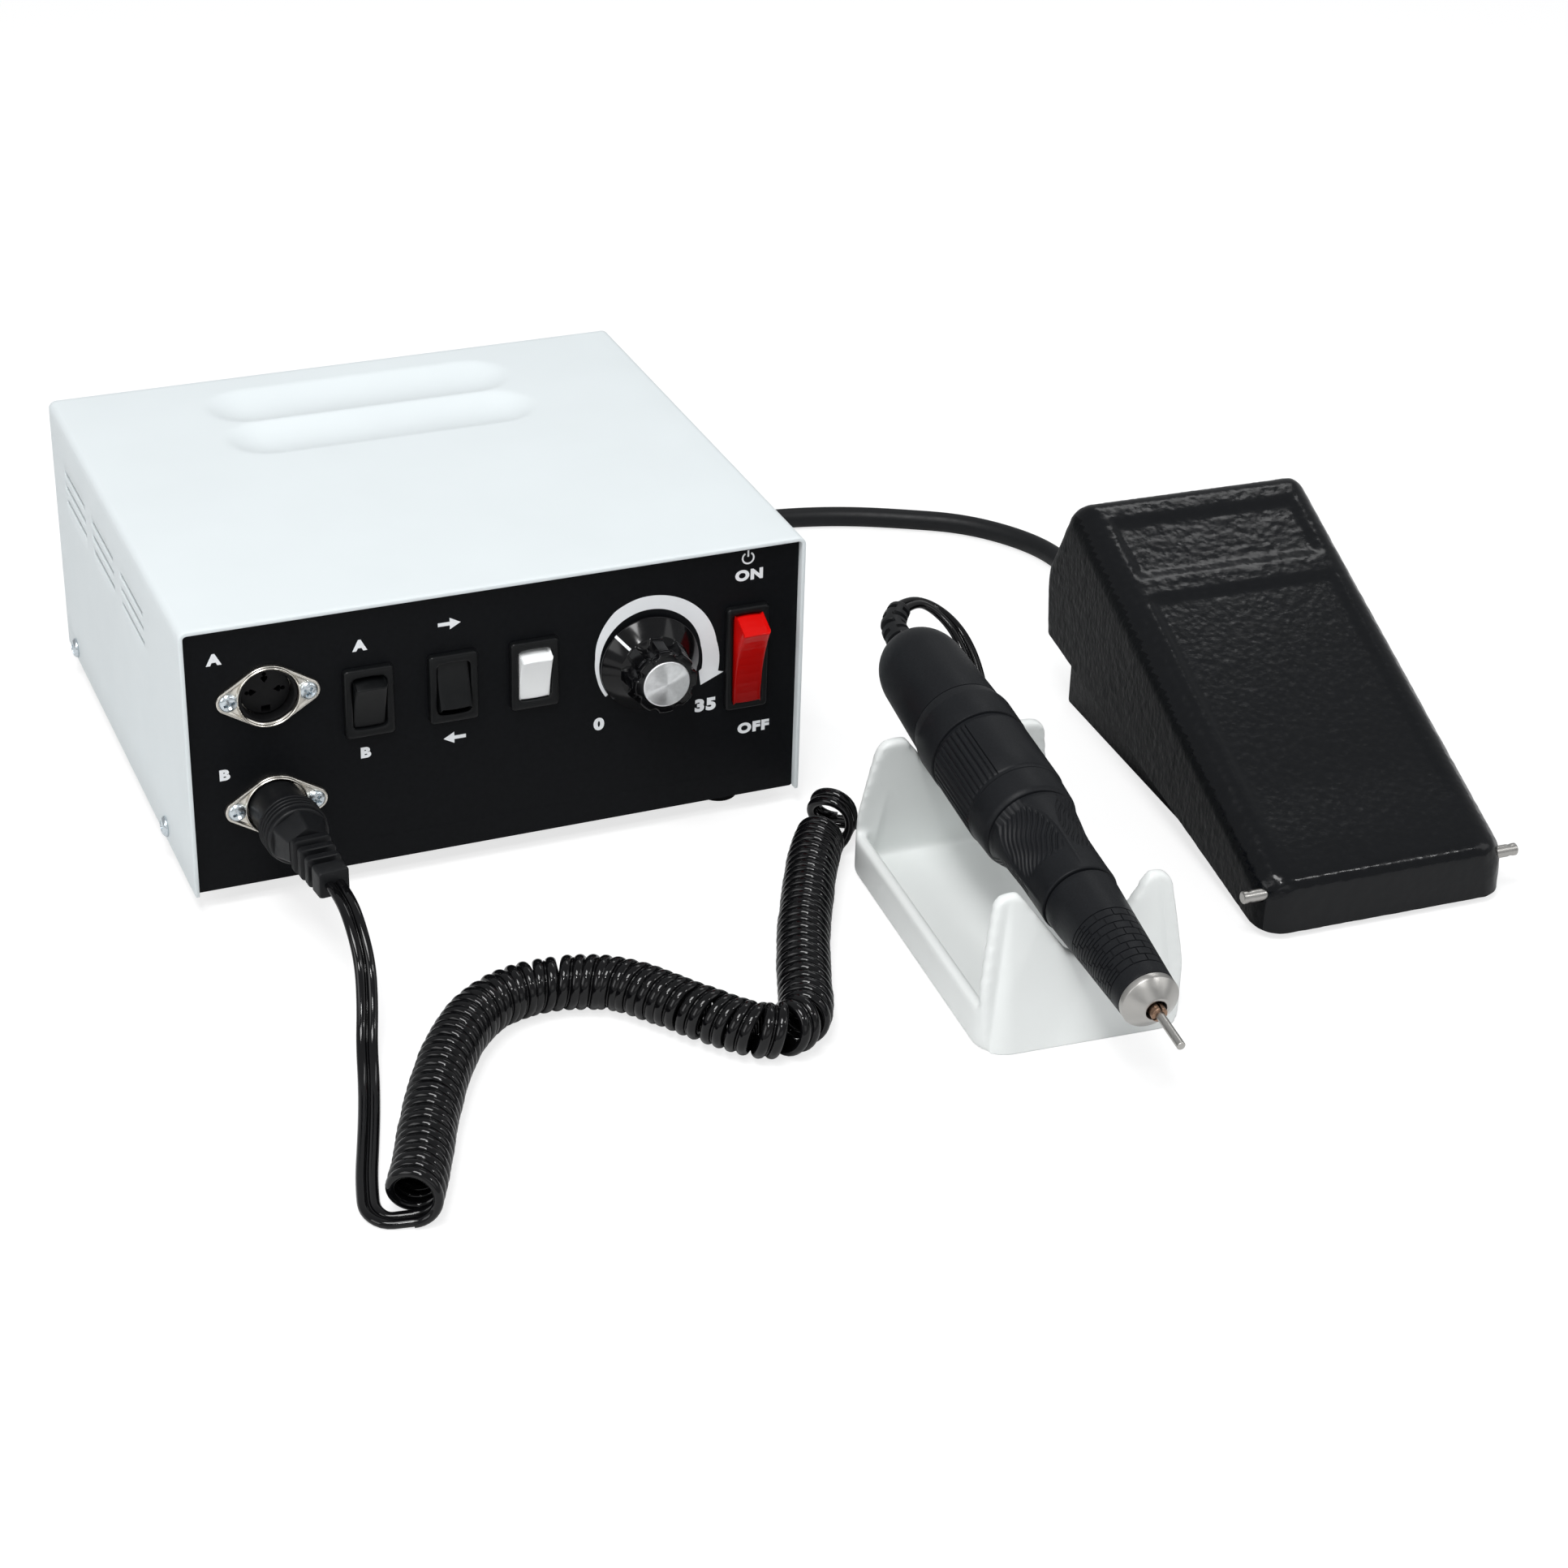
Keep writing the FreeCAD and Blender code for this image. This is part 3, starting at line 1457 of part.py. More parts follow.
def pinion_outline():
    """Involute teeth, the gap between two teeth facing the sector."""
    pitch_radius = pinion_radius()
    base = pitch_radius * math.cos(math.radians(pressure_angle))
    tip = pitch_radius + tooth_addendum * gear_module
    root = pitch_radius - tooth_dedendum * gear_module
    half_tooth = (math.pi * gear_module / 4 - gear_backlash / 4) / pitch_radius
    roll_at_pitch = math.tan(math.radians(pressure_angle))
    involute_angle = roll_at_pitch - math.radians(pressure_angle)
    tip_roll = math.sqrt((tip / base) ** 2 - 1)
    facing = math.radians(pinion_angle + 180)
    points = []
    steps = 3
    for i in range(pinion_teeth):
        middle = facing + (i + 0.5) * 2 * math.pi / pinion_teeth
        right = middle - half_tooth - involute_angle
        left = middle + half_tooth + involute_angle
        points.append((root * math.cos(right), root * math.sin(right)))
        for k in range(steps + 1):
            points.append(involute_point(base, tip_roll * k / steps, right))
        for k in range(steps, -1, -1):
            x, y = involute_point(base, tip_roll * k / steps, 0)
            turned_y = x * math.cos(left) + y * math.sin(left)
            turned_z = x * math.sin(left) - y * math.cos(left)
            points.append((turned_y, turned_z))
        points.append((root * math.cos(left), root * math.sin(left)))
    return points


def make_pedal_pinion():
    """Pinion and its shaft, which turns in the potentiometer."""
    centre = pinion_centre()
    start = centre.x - pinion_width / 2
    corners = [Vector(start, centre.y + y, centre.z + z) for y, z in pinion_outline()]
    gear = Part.Face(Part.makePolygon(corners + corners[:1])).extrude(Vector(pinion_width, 0, 0))
    shaft_start = pedal_pot_across + pot_body_depth / 2
    shaft_end = Vector(start + 1, centre.y, centre.z)
    shaft = rod(pot_shaft_radius, Vector(shaft_start, centre.y, centre.z), shaft_end)
    return pedal_to_world(gear.fuse(shaft).removeSplitter())


def make_pedal_pot():
    centre = pinion_centre()
    left = pedal_pot_across
    face = left + pot_body_depth
    body = rod(pot_body_radius, Vector(left, centre.y, centre.z), Vector(face, centre.y, centre.z))
    bush_end = centre.x - pinion_width / 2 - open_gap
    bush = rod(pot_bush_radius, Vector(face, centre.y, centre.z), Vector(bush_end, centre.y, centre.z))
    bore = rod(
        pot_shaft_radius + running_gap,
        Vector(left + pot_body_depth / 2 - running_gap, centre.y, centre.z),
        Vector(bush_end + 1, centre.y, centre.z),
    )
    return pedal_to_world(body.fuse(bush).cut(bore).removeSplitter())


def make_return_spring():
    """Compression spring between the base and the treadle, drawn as its outer tube."""
    foot = spring_foot()
    v, z = pedal_pin_place
    slope = treadle_slope()
    front = Vector(0, treadle_front_top[0], treadle_front_top[1])
    outside = front.z + (foot.y - spring_radius - front.y) * math.tan(slope)
    underside = outside - treadle_wall / math.cos(slope)
    top = Vector(foot.x, foot.y, underside - open_gap)
    spring = rod(spring_radius, foot, top).cut(rod(spring_radius - spring_wire, foot, top))
    return pedal_to_world(spring)


# Cords


def rounded_route(points, name):
    """Straight runs joined by tangent arcs, each as large as its two runs allow."""
    edges = []
    leave = points[0]
    radii = []
    for i in range(1, len(points) - 1):
        corner = points[i]
        back = points[i - 1] - corner
        ahead = points[i + 1] - corner
        turn = math.pi - back.getAngle(ahead)
        reach = 0.45 * min(back.Length, ahead.Length)
        radius = reach / math.tan(turn / 2)
        radii.append(radius)
        start = corner + back.normalize() * reach
        end = corner + ahead.normalize() * reach
        middle = corner + (back + ahead).normalize() * (radius / math.cos(turn / 2) - radius)
        edges.append(Part.LineSegment(leave, start).toShape())
        edges.append(Part.Arc(start, middle, end).toShape())
        leave = end
    edges.append(Part.LineSegment(leave, points[-1]).toShape())
    route = Part.Wire(edges)
    print(name, "length", round(route.Length, 1), "radii", [round(radius, 1) for radius in radii])
    return route


def many_sided(centre, heading, radius, sides):
    """Flat regular section square to a heading, one side lying level."""
    across = heading.cross(Vector(0, 0, 1)).normalize()
    above = across.cross(heading).normalize()
    corners = []
    for i in range(sides):
        angle = math.pi * (2 * i + 1) / sides
        corners.append(centre + across * (radius * math.cos(angle)) + above * (radius * math.sin(angle)))
    return Part.makePolygon(corners + corners[:1])


def cord_tube(points, diameter, name):
    """Many-sided cord along a route, its volume compared with section times length."""
    route = rounded_route(points, name)
    section = many_sided(points[0], points[1] - points[0], diameter / 2, tube_sides)
    tube = route.makePipeShell([section], True, False)
    ratio = tube.Volume / (Part.Face(section).Area * route.Length)
    print(name, "volume over section times length", round(ratio, 4))
    return tube


def arc_in_corner(start, corner, end):
    """Arc that leaves start and meets end with equal tangents through a corner point."""
    half_chord = (end - start) * 0.5
    reach = (corner - start).Length
    to_middle = start + half_chord - corner
    if to_middle.Length < 1e-7 * reach:
        return Part.LineSegment(start, end).toShape()
    radius = half_chord.Length * reach / to_middle.Length
    depth = math.hypot(radius, reach) - radius
    return Part.Arc(start, corner + to_middle.normalize() * depth, end).toShape()


def biarc(start, start_heading, end, end_heading):
    """Two arcs joined smoothly between two points with given headings."""
    chord = end - start
    headings = start_heading + end_heading
    spread = 2 * (1 - start_heading.dot(end_heading))
    along = chord.dot(headings)
    if spread < 1e-9:
        reach = chord.dot(chord) / (2 * along)
    else:
        reach = (-along + math.sqrt(along**2 + spread * chord.dot(chord))) / spread
    first = start + start_heading * reach
    second = end - end_heading * reach
    joint = (first + second) * 0.5
    return [arc_in_corner(start, first, joint), arc_in_corner(joint, second, end)]


def wound_route(place_at, steps, straight):
    """Route through the points of a winding, with a straight run at each end."""
    points = [place_at(step / steps) for step in range(steps + 1)]
    headings = []
    nudge = 1e-4
    for step in range(steps + 1):
        share = step / steps
        before = place_at(max(share - nudge, 0))
        after = place_at(min(share + nudge, 1))
        headings.append((after - before).normalize())
    edges = [Part.LineSegment(points[0] - headings[0] * straight, points[0]).toShape()]
    for step in range(steps):
        edges += biarc(points[step], headings[step], points[step + 1], headings[step + 1])
    edges.append(Part.LineSegment(points[-1], points[-1] + headings[-1] * straight).toShape())
    ends = [
        (points[0] - headings[0] * straight, headings[0]),
        (points[-1] + headings[-1] * straight, headings[-1]),
    ]
    return Part.Wire(edges), ends


def least_gap(place_at, samples, turns, thickness):
    """Least distance between points more than half a turn apart, less the thickness."""
    points = [place_at(i / samples) for i in range(samples + 1)]
    skip = int(0.55 * samples / turns)
    reach = int(1.6 * samples / turns)
    least = 1e9
    for i in range(samples + 1):
        for j in range(i + skip, min(i + reach, samples) + 1):
            least = min(least, (points[i] - points[j]).Length)
    return least - thickness


lead_points = [
    Vector(25.0, -62.0, 27.8),
    Vector(25.9, -71.0, 21.5),
    Vector(25.4, -77.5, 13.0),
    Vector(23.9, -85.0, 5.8),
    Vector(21.0, -96.5, 2.2),
    Vector(17.2, -109.5, 1.9),
    Vector(13.2, -122.0, 1.85),
    Vector(9.6, -133.0, 1.85),
    Vector(7.4, -141.2, 1.85),
    Vector(6.2, -146.6, 1.85),
    Vector(6.9, -150.4, 1.85),
]

coil_points = [
    Vector(15.2, -154.5, 0),
    Vector(20.6, -143.6, 0),
    Vector(26.2, -129.8, 0),
    Vector(33.2, -114.6, 0),
    Vector(41.2, -99.8, 0),
    Vector(50.2, -87.4, 0),
    Vector(60.2, -79.4, 0),
    Vector(71.6, -76.6, 0),
    Vector(83.4, -78.0, 0),
    Vector(94.0, -82.6, 0),
    Vector(101.6, -92.0, 0),
    Vector(107.2, -103.0, 0),
    Vector(112.4, -113.4, 0),
    Vector(119.5, -118.5, 0),
    Vector(129.5, -119.5, 0),
    Vector(138.2, -114.6, 0),
    Vector(142.8, -105.2, 0),
    Vector(145.6, -93.2, 0),
    Vector(150.2, -80.0, 0),
    Vector(155.8, -66.0, 0),
    Vector(163.6, -50.0, 0),
    Vector(171.6, -34.6, 0),
    Vector(179.2, -20.0, 0),
]

tail_points = [
    Vector(198.5, -27.6, 1.9),
    Vector(208.5, -29.2, 2.2),
    Vector(218.0, -28.2, 4.0),
    Vector(225.8, -24.6, 8.6),
    Vector(231.4, -19.4, 15.2),
    Vector(235.0, -13.6, 22.8),
    Vector(236.8, -7.0, 30.4),
    Vector(237.8, 1.4, 37.0),
    Vector(237.6, 10.4, 42.4),
    Vector(234.6, 18.2, 47.0),
    Vector(228.2, 22.9, 50.6),
    Vector(220.2, 22.6, 53.0),
    Vector(214.2, 17.8, 53.9),
]

pedal_cord_points = [
    Vector(318.6, 50.0, 6.0),
    Vector(320.6, 68.0, 3.6),
    Vector(324.2, 88.0, 3.25),
    Vector(327.6, 107.0, 3.2),
    Vector(326.8, 125.5, 3.2),
    Vector(319.6, 141.5, 3.2),
    Vector(307.6, 155.6, 3.2),
    Vector(292.6, 167.6, 3.2),
    Vector(275.0, 177.4, 3.2),
    Vector(255.8, 183.6, 3.2),
    Vector(235.0, 186.0, 3.2),
    Vector(213.0, 185.6, 3.2),
    Vector(190.0, 184.4, 3.2),
    Vector(166.0, 183.2, 3.2),
    Vector(142.0, 182.6, 3.2),
    Vector(120.0, 182.5, 3.2),
]


def coil_centre_route():
    """Line that the curly lead winds round, a little above the floor."""
    height = coil_outer_radius + coil_lift
    return rounded_route([Vector(point.x, point.y, height) for point in coil_points], "coil centre")


class CoilRoute:
    """Places on the curly lead, wound about its centre line."""

    def __init__(self):
        self.centre = coil_centre_route()
        self.radius = coil_outer_radius - lead_diameter / 2
        self.edges = self.centre.Edges
        self.length = self.centre.Length

    def centre_at(self, distance):
        distance = min(max(distance, 0), self.length)
        for edge in self.edges:
            if distance <= edge.Length or edge is self.edges[-1]:
                at = edge.getParameterByLength(min(distance, edge.Length))
                return edge.valueAt(at), edge.tangentAt(at)
            distance -= edge.Length

    def distance_at(self, share):
        """Even pitch, with the last turn drawn out."""
        stretched = coil_last_pitch
        even = (self.length - stretched) / (coil_turns - 1)
        turns = share * coil_turns
        if turns <= coil_turns - 1:
            return turns * even
        extra = turns - (coil_turns - 1)
        return (coil_turns - 1) * even + extra * even + (stretched - even) * extra**2

    def place_at(self, share):
        centre, heading = self.centre_at(self.distance_at(share))
        right = heading.cross(Vector(0, 0, 1)).normalize()
        angle = 2 * math.pi * coil_turns * share - math.pi / 2
        across = right * (self.radius * math.cos(angle))
        return centre + across + Vector(0, 0, self.radius * math.sin(angle))


def make_cord_coil():
    """Curly part of the lead as one wound tube, with its two ends for the free stretches."""
    route = CoilRoute()
    path, ends = wound_route(route.place_at, coil_turns * 2, lead_diameter)
    start, heading = ends[0]
    section = many_sided(start, heading, lead_diameter / 2, winding_sides)
    coil = path.makePipeShell([section], True, False)
    gap = least_gap(route.place_at, coil_turns * 24, coil_turns, lead_diameter)
    print("coil wire length", round(path.Length, 1), "least gap", round(gap, 2))
    return coil, ends


def make_lead(coil_start):
    end, heading = coil_start
    plug_end = Vector(socket_b_place[0], socket_front() - plug_length(), socket_b_place[1])
    points = [plug_end, plug_end - Vector(0, 8, 0)] + lead_points + [end - heading * 2.9, end]
    return cord_tube(points, lead_diameter, "lead")


def plug_length():
    return plug_grip_length + plug_hex_length + plug_relief_length


def make_tail(coil_end):
    start, heading = coil_end
    relief = handpiece_point(-relief_length)
    behind = handpiece_point(-relief_length - 7)
    points = [start, start + heading * 7] + tail_points + [behind, relief]
    return cord_tube(points, lead_diameter, "tail")


def pile_place(share):
    """Spiral in on the floor, climb in a half turn, spiral out on top."""
    total = pile_inward_turns + pile_reverse_turns + pile_outward_turns
    turn = share * total
    low = pedal_cord_diameter / 2 + pedal_cord_lift
    inner = pile_outer_radius - pile_step * pile_inward_turns
    if turn <= pile_inward_turns:
        radius = pile_outer_radius - pile_step * turn
        height = low
    elif turn <= pile_inward_turns + pile_reverse_turns:
        part = (turn - pile_inward_turns) / pile_reverse_turns
        radius = inner - pile_dip * math.sin(math.pi * part)
        height = low + pile_step * (part - math.sin(2 * math.pi * part) / (2 * math.pi))
    else:
        radius = inner + pile_step * (turn - pile_inward_turns - pile_reverse_turns)
        height = low + pile_step
    angle = -math.pi / 2 - 2 * math.pi * turn
    x = pile_centre[0] + radius * math.cos(angle)
    y = pile_centre[1] + radius * math.sin(angle)
    return Vector(x, y, height)


def make_cord_pile():
    turns = pile_inward_turns + pile_reverse_turns + pile_outward_turns
    path, ends = wound_route(pile_place, round(turns * 4), pedal_cord_diameter)
    start, heading = ends[0]
    section = many_sided(start, heading, pedal_cord_diameter / 2, winding_sides)
    pile = path.makePipeShell([section], True, False)
    gap = least_gap(pile_place, 600, turns, pedal_cord_diameter)
    print("pile length", round(path.Length, 1), "least gap", round(gap, 2))
    return pile, ends


def make_pedal_cord(pile_start):
    end, heading = pile_start
    gland = pedal_gland_end()
    back = pedal_point_to_world(Vector(0, 1, 0)) - pedal_point_to_world(Vector(0, 0, 0))
    points = [gland, gland + back * 9] + pedal_cord_points + [end - heading * 9, end]
    return cord_tube(points, pedal_cord_diameter, "pedal cord")


def make_pedal_cord_end(pile_end):
    start, heading = pile_end
    gland = unit_gland_end()
    points = [start, start + heading * 9, gland + Vector(0, 20, -4.5), gland + Vector(0, 8, 0), gland]
    return cord_tube(points, pedal_cord_diameter, "pedal cord end")


# All nodes by name


def control_unit():
    nodes = {
        "chassis": make_chassis(),
        "front_panel": make_front_panel(),
        "cover": make_cover(),
        "feet": make_feet(),
        "socket_a": make_socket(socket_a_place),
        "socket_b": make_socket(socket_b_place),
        "socket_a_insulator": make_insulator(socket_a_place),
        "socket_b_insulator": make_insulator(socket_b_place),
        "plug": make_plug(),
        "speed_pot": make_speed_pot(),
        "pot_shaft": make_pot_shaft(),
        "knob_body": make_knob_body(),
        "knob_cap": make_knob_cap(),
        "mains_inlet": make_mains_inlet(),
        "fuse_holder": make_fuse_holder(),
        "fuse_cap": make_fuse_cap(),
        "unit_gland": make_unit_gland(),
        "transformer": make_transformer(),
        "circuit_board": make_circuit_board(),
    }
    pivot = panel_face + small_pivot_depth
    tilts = {"output": rocker_tilt, "direction": -rocker_tilt, "control": rocker_tilt}
    for name, place in small_switch_places.items():
        housing = make_switch_housing(place, small_bezel, small_window, small_switch_depth, pivot)
        rocker = make_rocker(place, small_window, small_rocker, pivot, tilts[name])
        nodes[name + "_switch"] = housing
        nodes[name + "_rocker"] = rocker
    pivot = panel_face + power_pivot_depth
    housing = make_switch_housing(power_place, power_bezel, power_window, power_switch_depth, pivot)
    nodes["power_switch"] = housing
    nodes["power_rocker"] = make_rocker(power_place, power_window, power_rocker, pivot, rocker_tilt)
    return nodes


def handpiece():
    pieces = {
        "handpiece_relief": make_strain_relief(),
        "rear_cap": make_rear_cap(),
        "rear_collar": make_rear_collar(),
        "rear_bearing": make_bearing(rear_bearing_start),
        "motor_body": make_motor_body(),
        "mid_collar": make_mid_collar(),
        "core_tube": make_core_tube(),
        "twist_sleeve": make_twist_sleeve(),
        "front_grip": make_front_grip(),
        "front_bearing": make_bearing(front_bearing_start),
        "nose_cone": make_nose_cone(),
        "spindle": make_spindle(),
        "collet": make_collet(),
        "mandrel": make_mandrel(),
    }
    return {name: handpiece_to_world(piece) for name, piece in pieces.items()}


def pedal():
    return {
        "treadle": make_treadle(),
        "treadle_sector": make_sector(),
        "pedal_base": make_pedal_base(),
        "hinge_pin": make_hinge_pin(),
        "pedal_gland": make_pedal_gland(),
        "pedal_pot": make_pedal_pot(),
        "pedal_pinion": make_pedal_pinion(),
        "return_spring": make_return_spring(),
    }


def cords():
    coil, coil_ends = make_cord_coil()
    pile, pile_ends = make_cord_pile()
    return {
        "cord_lead": make_lead(coil_ends[0]),
        "cord_coil": coil,
        "cord_tail": make_tail(coil_ends[1]),
        "pedal_cord": make_pedal_cord(pile_ends[0]),
        "pedal_cord_coil": pile,
        "pedal_cord_end": make_pedal_cord_end(pile_ends[1]),
    }


lead_names = ("plug", "cord_lead", "cord_coil", "cord_tail")
cord_names = lead_names + ("pedal_cord", "pedal_cord_coil", "pedal_cord_end")


def model():
    """Every node, moved so that the middle of the standing pieces is over the origin."""
    nodes = {}
    nodes.update(control_unit())
    nodes["cradle"] = make_cradle()
    nodes.update(handpiece())
    nodes.update(pedal())
    nodes.update(cords())
    standing = FreeCAD.BoundBox()
    for name, solid in nodes.items():
        if name not in cord_names:
            standing.add(solid.optimalBoundingBox(False, False))
    shift = Vector(-standing.Center.x, -standing.Center.y, 0)
    for solid in nodes.values():
        solid.translate(shift)
    return nodes, shift


def main():
    os.makedirs("parts", exist_ok=True)
    nodes, shift = model()
    print("shift", round(shift.x, 3), round(shift.y, 3), "nodes", len(nodes))
    for name, solid in nodes.items():
        if not solid.isValid():
            print("not valid:", name)
        solid.exportStep(os.path.join("parts", name + ".step"))


main()
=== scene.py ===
import json
import math

import bmesh
import bpy
import numpy as np
from mathutils import Matrix, Vector, noise


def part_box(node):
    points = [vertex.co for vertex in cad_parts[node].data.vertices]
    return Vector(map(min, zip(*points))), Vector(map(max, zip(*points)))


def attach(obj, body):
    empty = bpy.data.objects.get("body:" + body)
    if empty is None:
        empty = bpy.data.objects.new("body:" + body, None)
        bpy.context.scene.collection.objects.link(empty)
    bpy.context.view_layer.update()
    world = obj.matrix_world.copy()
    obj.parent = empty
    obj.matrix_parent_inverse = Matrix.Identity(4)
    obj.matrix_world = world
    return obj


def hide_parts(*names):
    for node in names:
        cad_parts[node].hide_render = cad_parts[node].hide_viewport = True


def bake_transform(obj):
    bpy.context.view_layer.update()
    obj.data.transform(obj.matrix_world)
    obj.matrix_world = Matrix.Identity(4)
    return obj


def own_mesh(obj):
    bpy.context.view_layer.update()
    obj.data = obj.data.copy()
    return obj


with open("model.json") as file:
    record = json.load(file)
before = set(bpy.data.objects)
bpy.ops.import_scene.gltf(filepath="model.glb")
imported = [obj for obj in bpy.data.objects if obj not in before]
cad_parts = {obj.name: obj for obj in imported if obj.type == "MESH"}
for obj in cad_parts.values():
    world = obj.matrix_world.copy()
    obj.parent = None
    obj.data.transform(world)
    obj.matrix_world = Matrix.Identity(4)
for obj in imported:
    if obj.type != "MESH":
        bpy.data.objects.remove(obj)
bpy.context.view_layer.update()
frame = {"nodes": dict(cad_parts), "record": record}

# Lengths below are in millimetres, and each place turns them into metres in the model's frame.
MM = 0.001
scene = bpy.context.scene
unit_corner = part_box("cover")[0]

RIGHT, BACK, UP = Vector((1, 0, 0)), Vector((0, 1, 0)), Vector((0, 0, 1))

unit_width = 181.0
unit_depth = 165.0
unit_top = 88.0
panel_face = 2.5
upper_socket = (23.8, 64.4)
lower_socket = (24.5, 30.2)
knob_spot = (134.4, 55.0)
pedal_width = 74.35
pedal_middle = 37.2
hinge_spot = (5.4, 12.9)
treadle_front = (1.1, 17.5)
treadle_rear = (138.0, 74.6)


def unit_point(x, y, z):
    """Place in metres from the left front edge of the control unit."""
    return Vector((unit_corner.x + x * MM, unit_corner.y + y * MM, z * MM))


def unit_points(points):
    return [unit_point(*point) for point in points]


def clamp(value):
    return np.clip(value, 0, 1)


def axes_place(origin, x_axis, y_axis, z_axis):
    """Matrix that takes millimetres along three axes to the model's metres."""
    place = Matrix((x_axis, y_axis, z_axis)).transposed().to_4x4()
    place.translation = origin
    return place @ Matrix.Scale(MM, 4)


def turned(degrees, axis="X"):
    return Matrix.Rotation(math.radians(degrees), 4, axis)


def turned_place(corner, degrees):
    turn = math.radians(degrees)
    x_axis = Vector((math.cos(turn), math.sin(turn), 0))
    y_axis = Vector((-math.sin(turn), math.cos(turn), 0))
    return axes_place(unit_point(corner[0], corner[1], 0), x_axis, y_axis, UP)


def panel_place(x, z, depth=panel_face):
    """X out of the front panel, Y to the right, Z up."""
    return axes_place(unit_point(x, depth, z), -BACK, RIGHT, UP)


unit_place = turned_place((0, 0), 0)
cradle_place = turned_place((174.8, -139.7), -3.68)
pedal_place = turned_place((274.69, -115.36), -2.23)


def handpiece_axes():
    """X along the handpiece from the back of its rear cap, Z up."""
    turn = math.radians(1.3)
    dip = math.radians(6.31)
    ahead = Vector((math.sin(turn) * math.cos(dip), -math.cos(turn) * math.cos(dip), -math.sin(dip)))
    above = (UP - ahead * ahead.z).normalized()
    across = above.cross(ahead)
    front_rest = Vector((29.96, 8.0, 37.36))
    origin = front_rest - ahead * 125.7
    local = Matrix((ahead, across, above)).transposed().to_4x4()
    local.translation = origin
    return cradle_place @ local


hand_place = handpiece_axes()

# Camera


def place_camera():
    data = bpy.data.cameras.new("camera")
    data.lens = 76.04
    data.sensor_width = 36
    data.clip_start = 0.05
    camera = bpy.data.objects.new("camera", data)
    scene.collection.objects.link(camera)
    azimuth, height, roll = (math.radians(angle) for angle in (-23.53, 29.66, 1.82))
    flat = math.cos(height)
    back = Vector((math.sin(azimuth) * flat, -math.cos(azimuth) * flat, math.sin(height)))
    right = (-back).cross(UP).normalized()
    up = right.cross(-back)
    rolled_right = right * math.cos(roll) + up * math.sin(roll)
    rolled_up = up * math.cos(roll) - right * math.sin(roll)
    matrix = Matrix((rolled_right, rolled_up, back)).transposed().to_4x4()
    matrix.translation = unit_point(-162.6, -778.5, 491.8)
    camera.matrix_world = matrix
    scene.camera = camera


place_camera()

# Materials


def add_node(tree, kind, **inputs):
    """New shader node, its inputs given as values or as the outputs that feed them."""
    node = tree.nodes.new(kind)
    for name, value in inputs.items():
        socket = node.inputs[name.replace("_", " ")]
        if isinstance(value, bpy.types.NodeSocket):
            tree.links.new(value, socket)
        else:
            socket.default_value = value
    return node


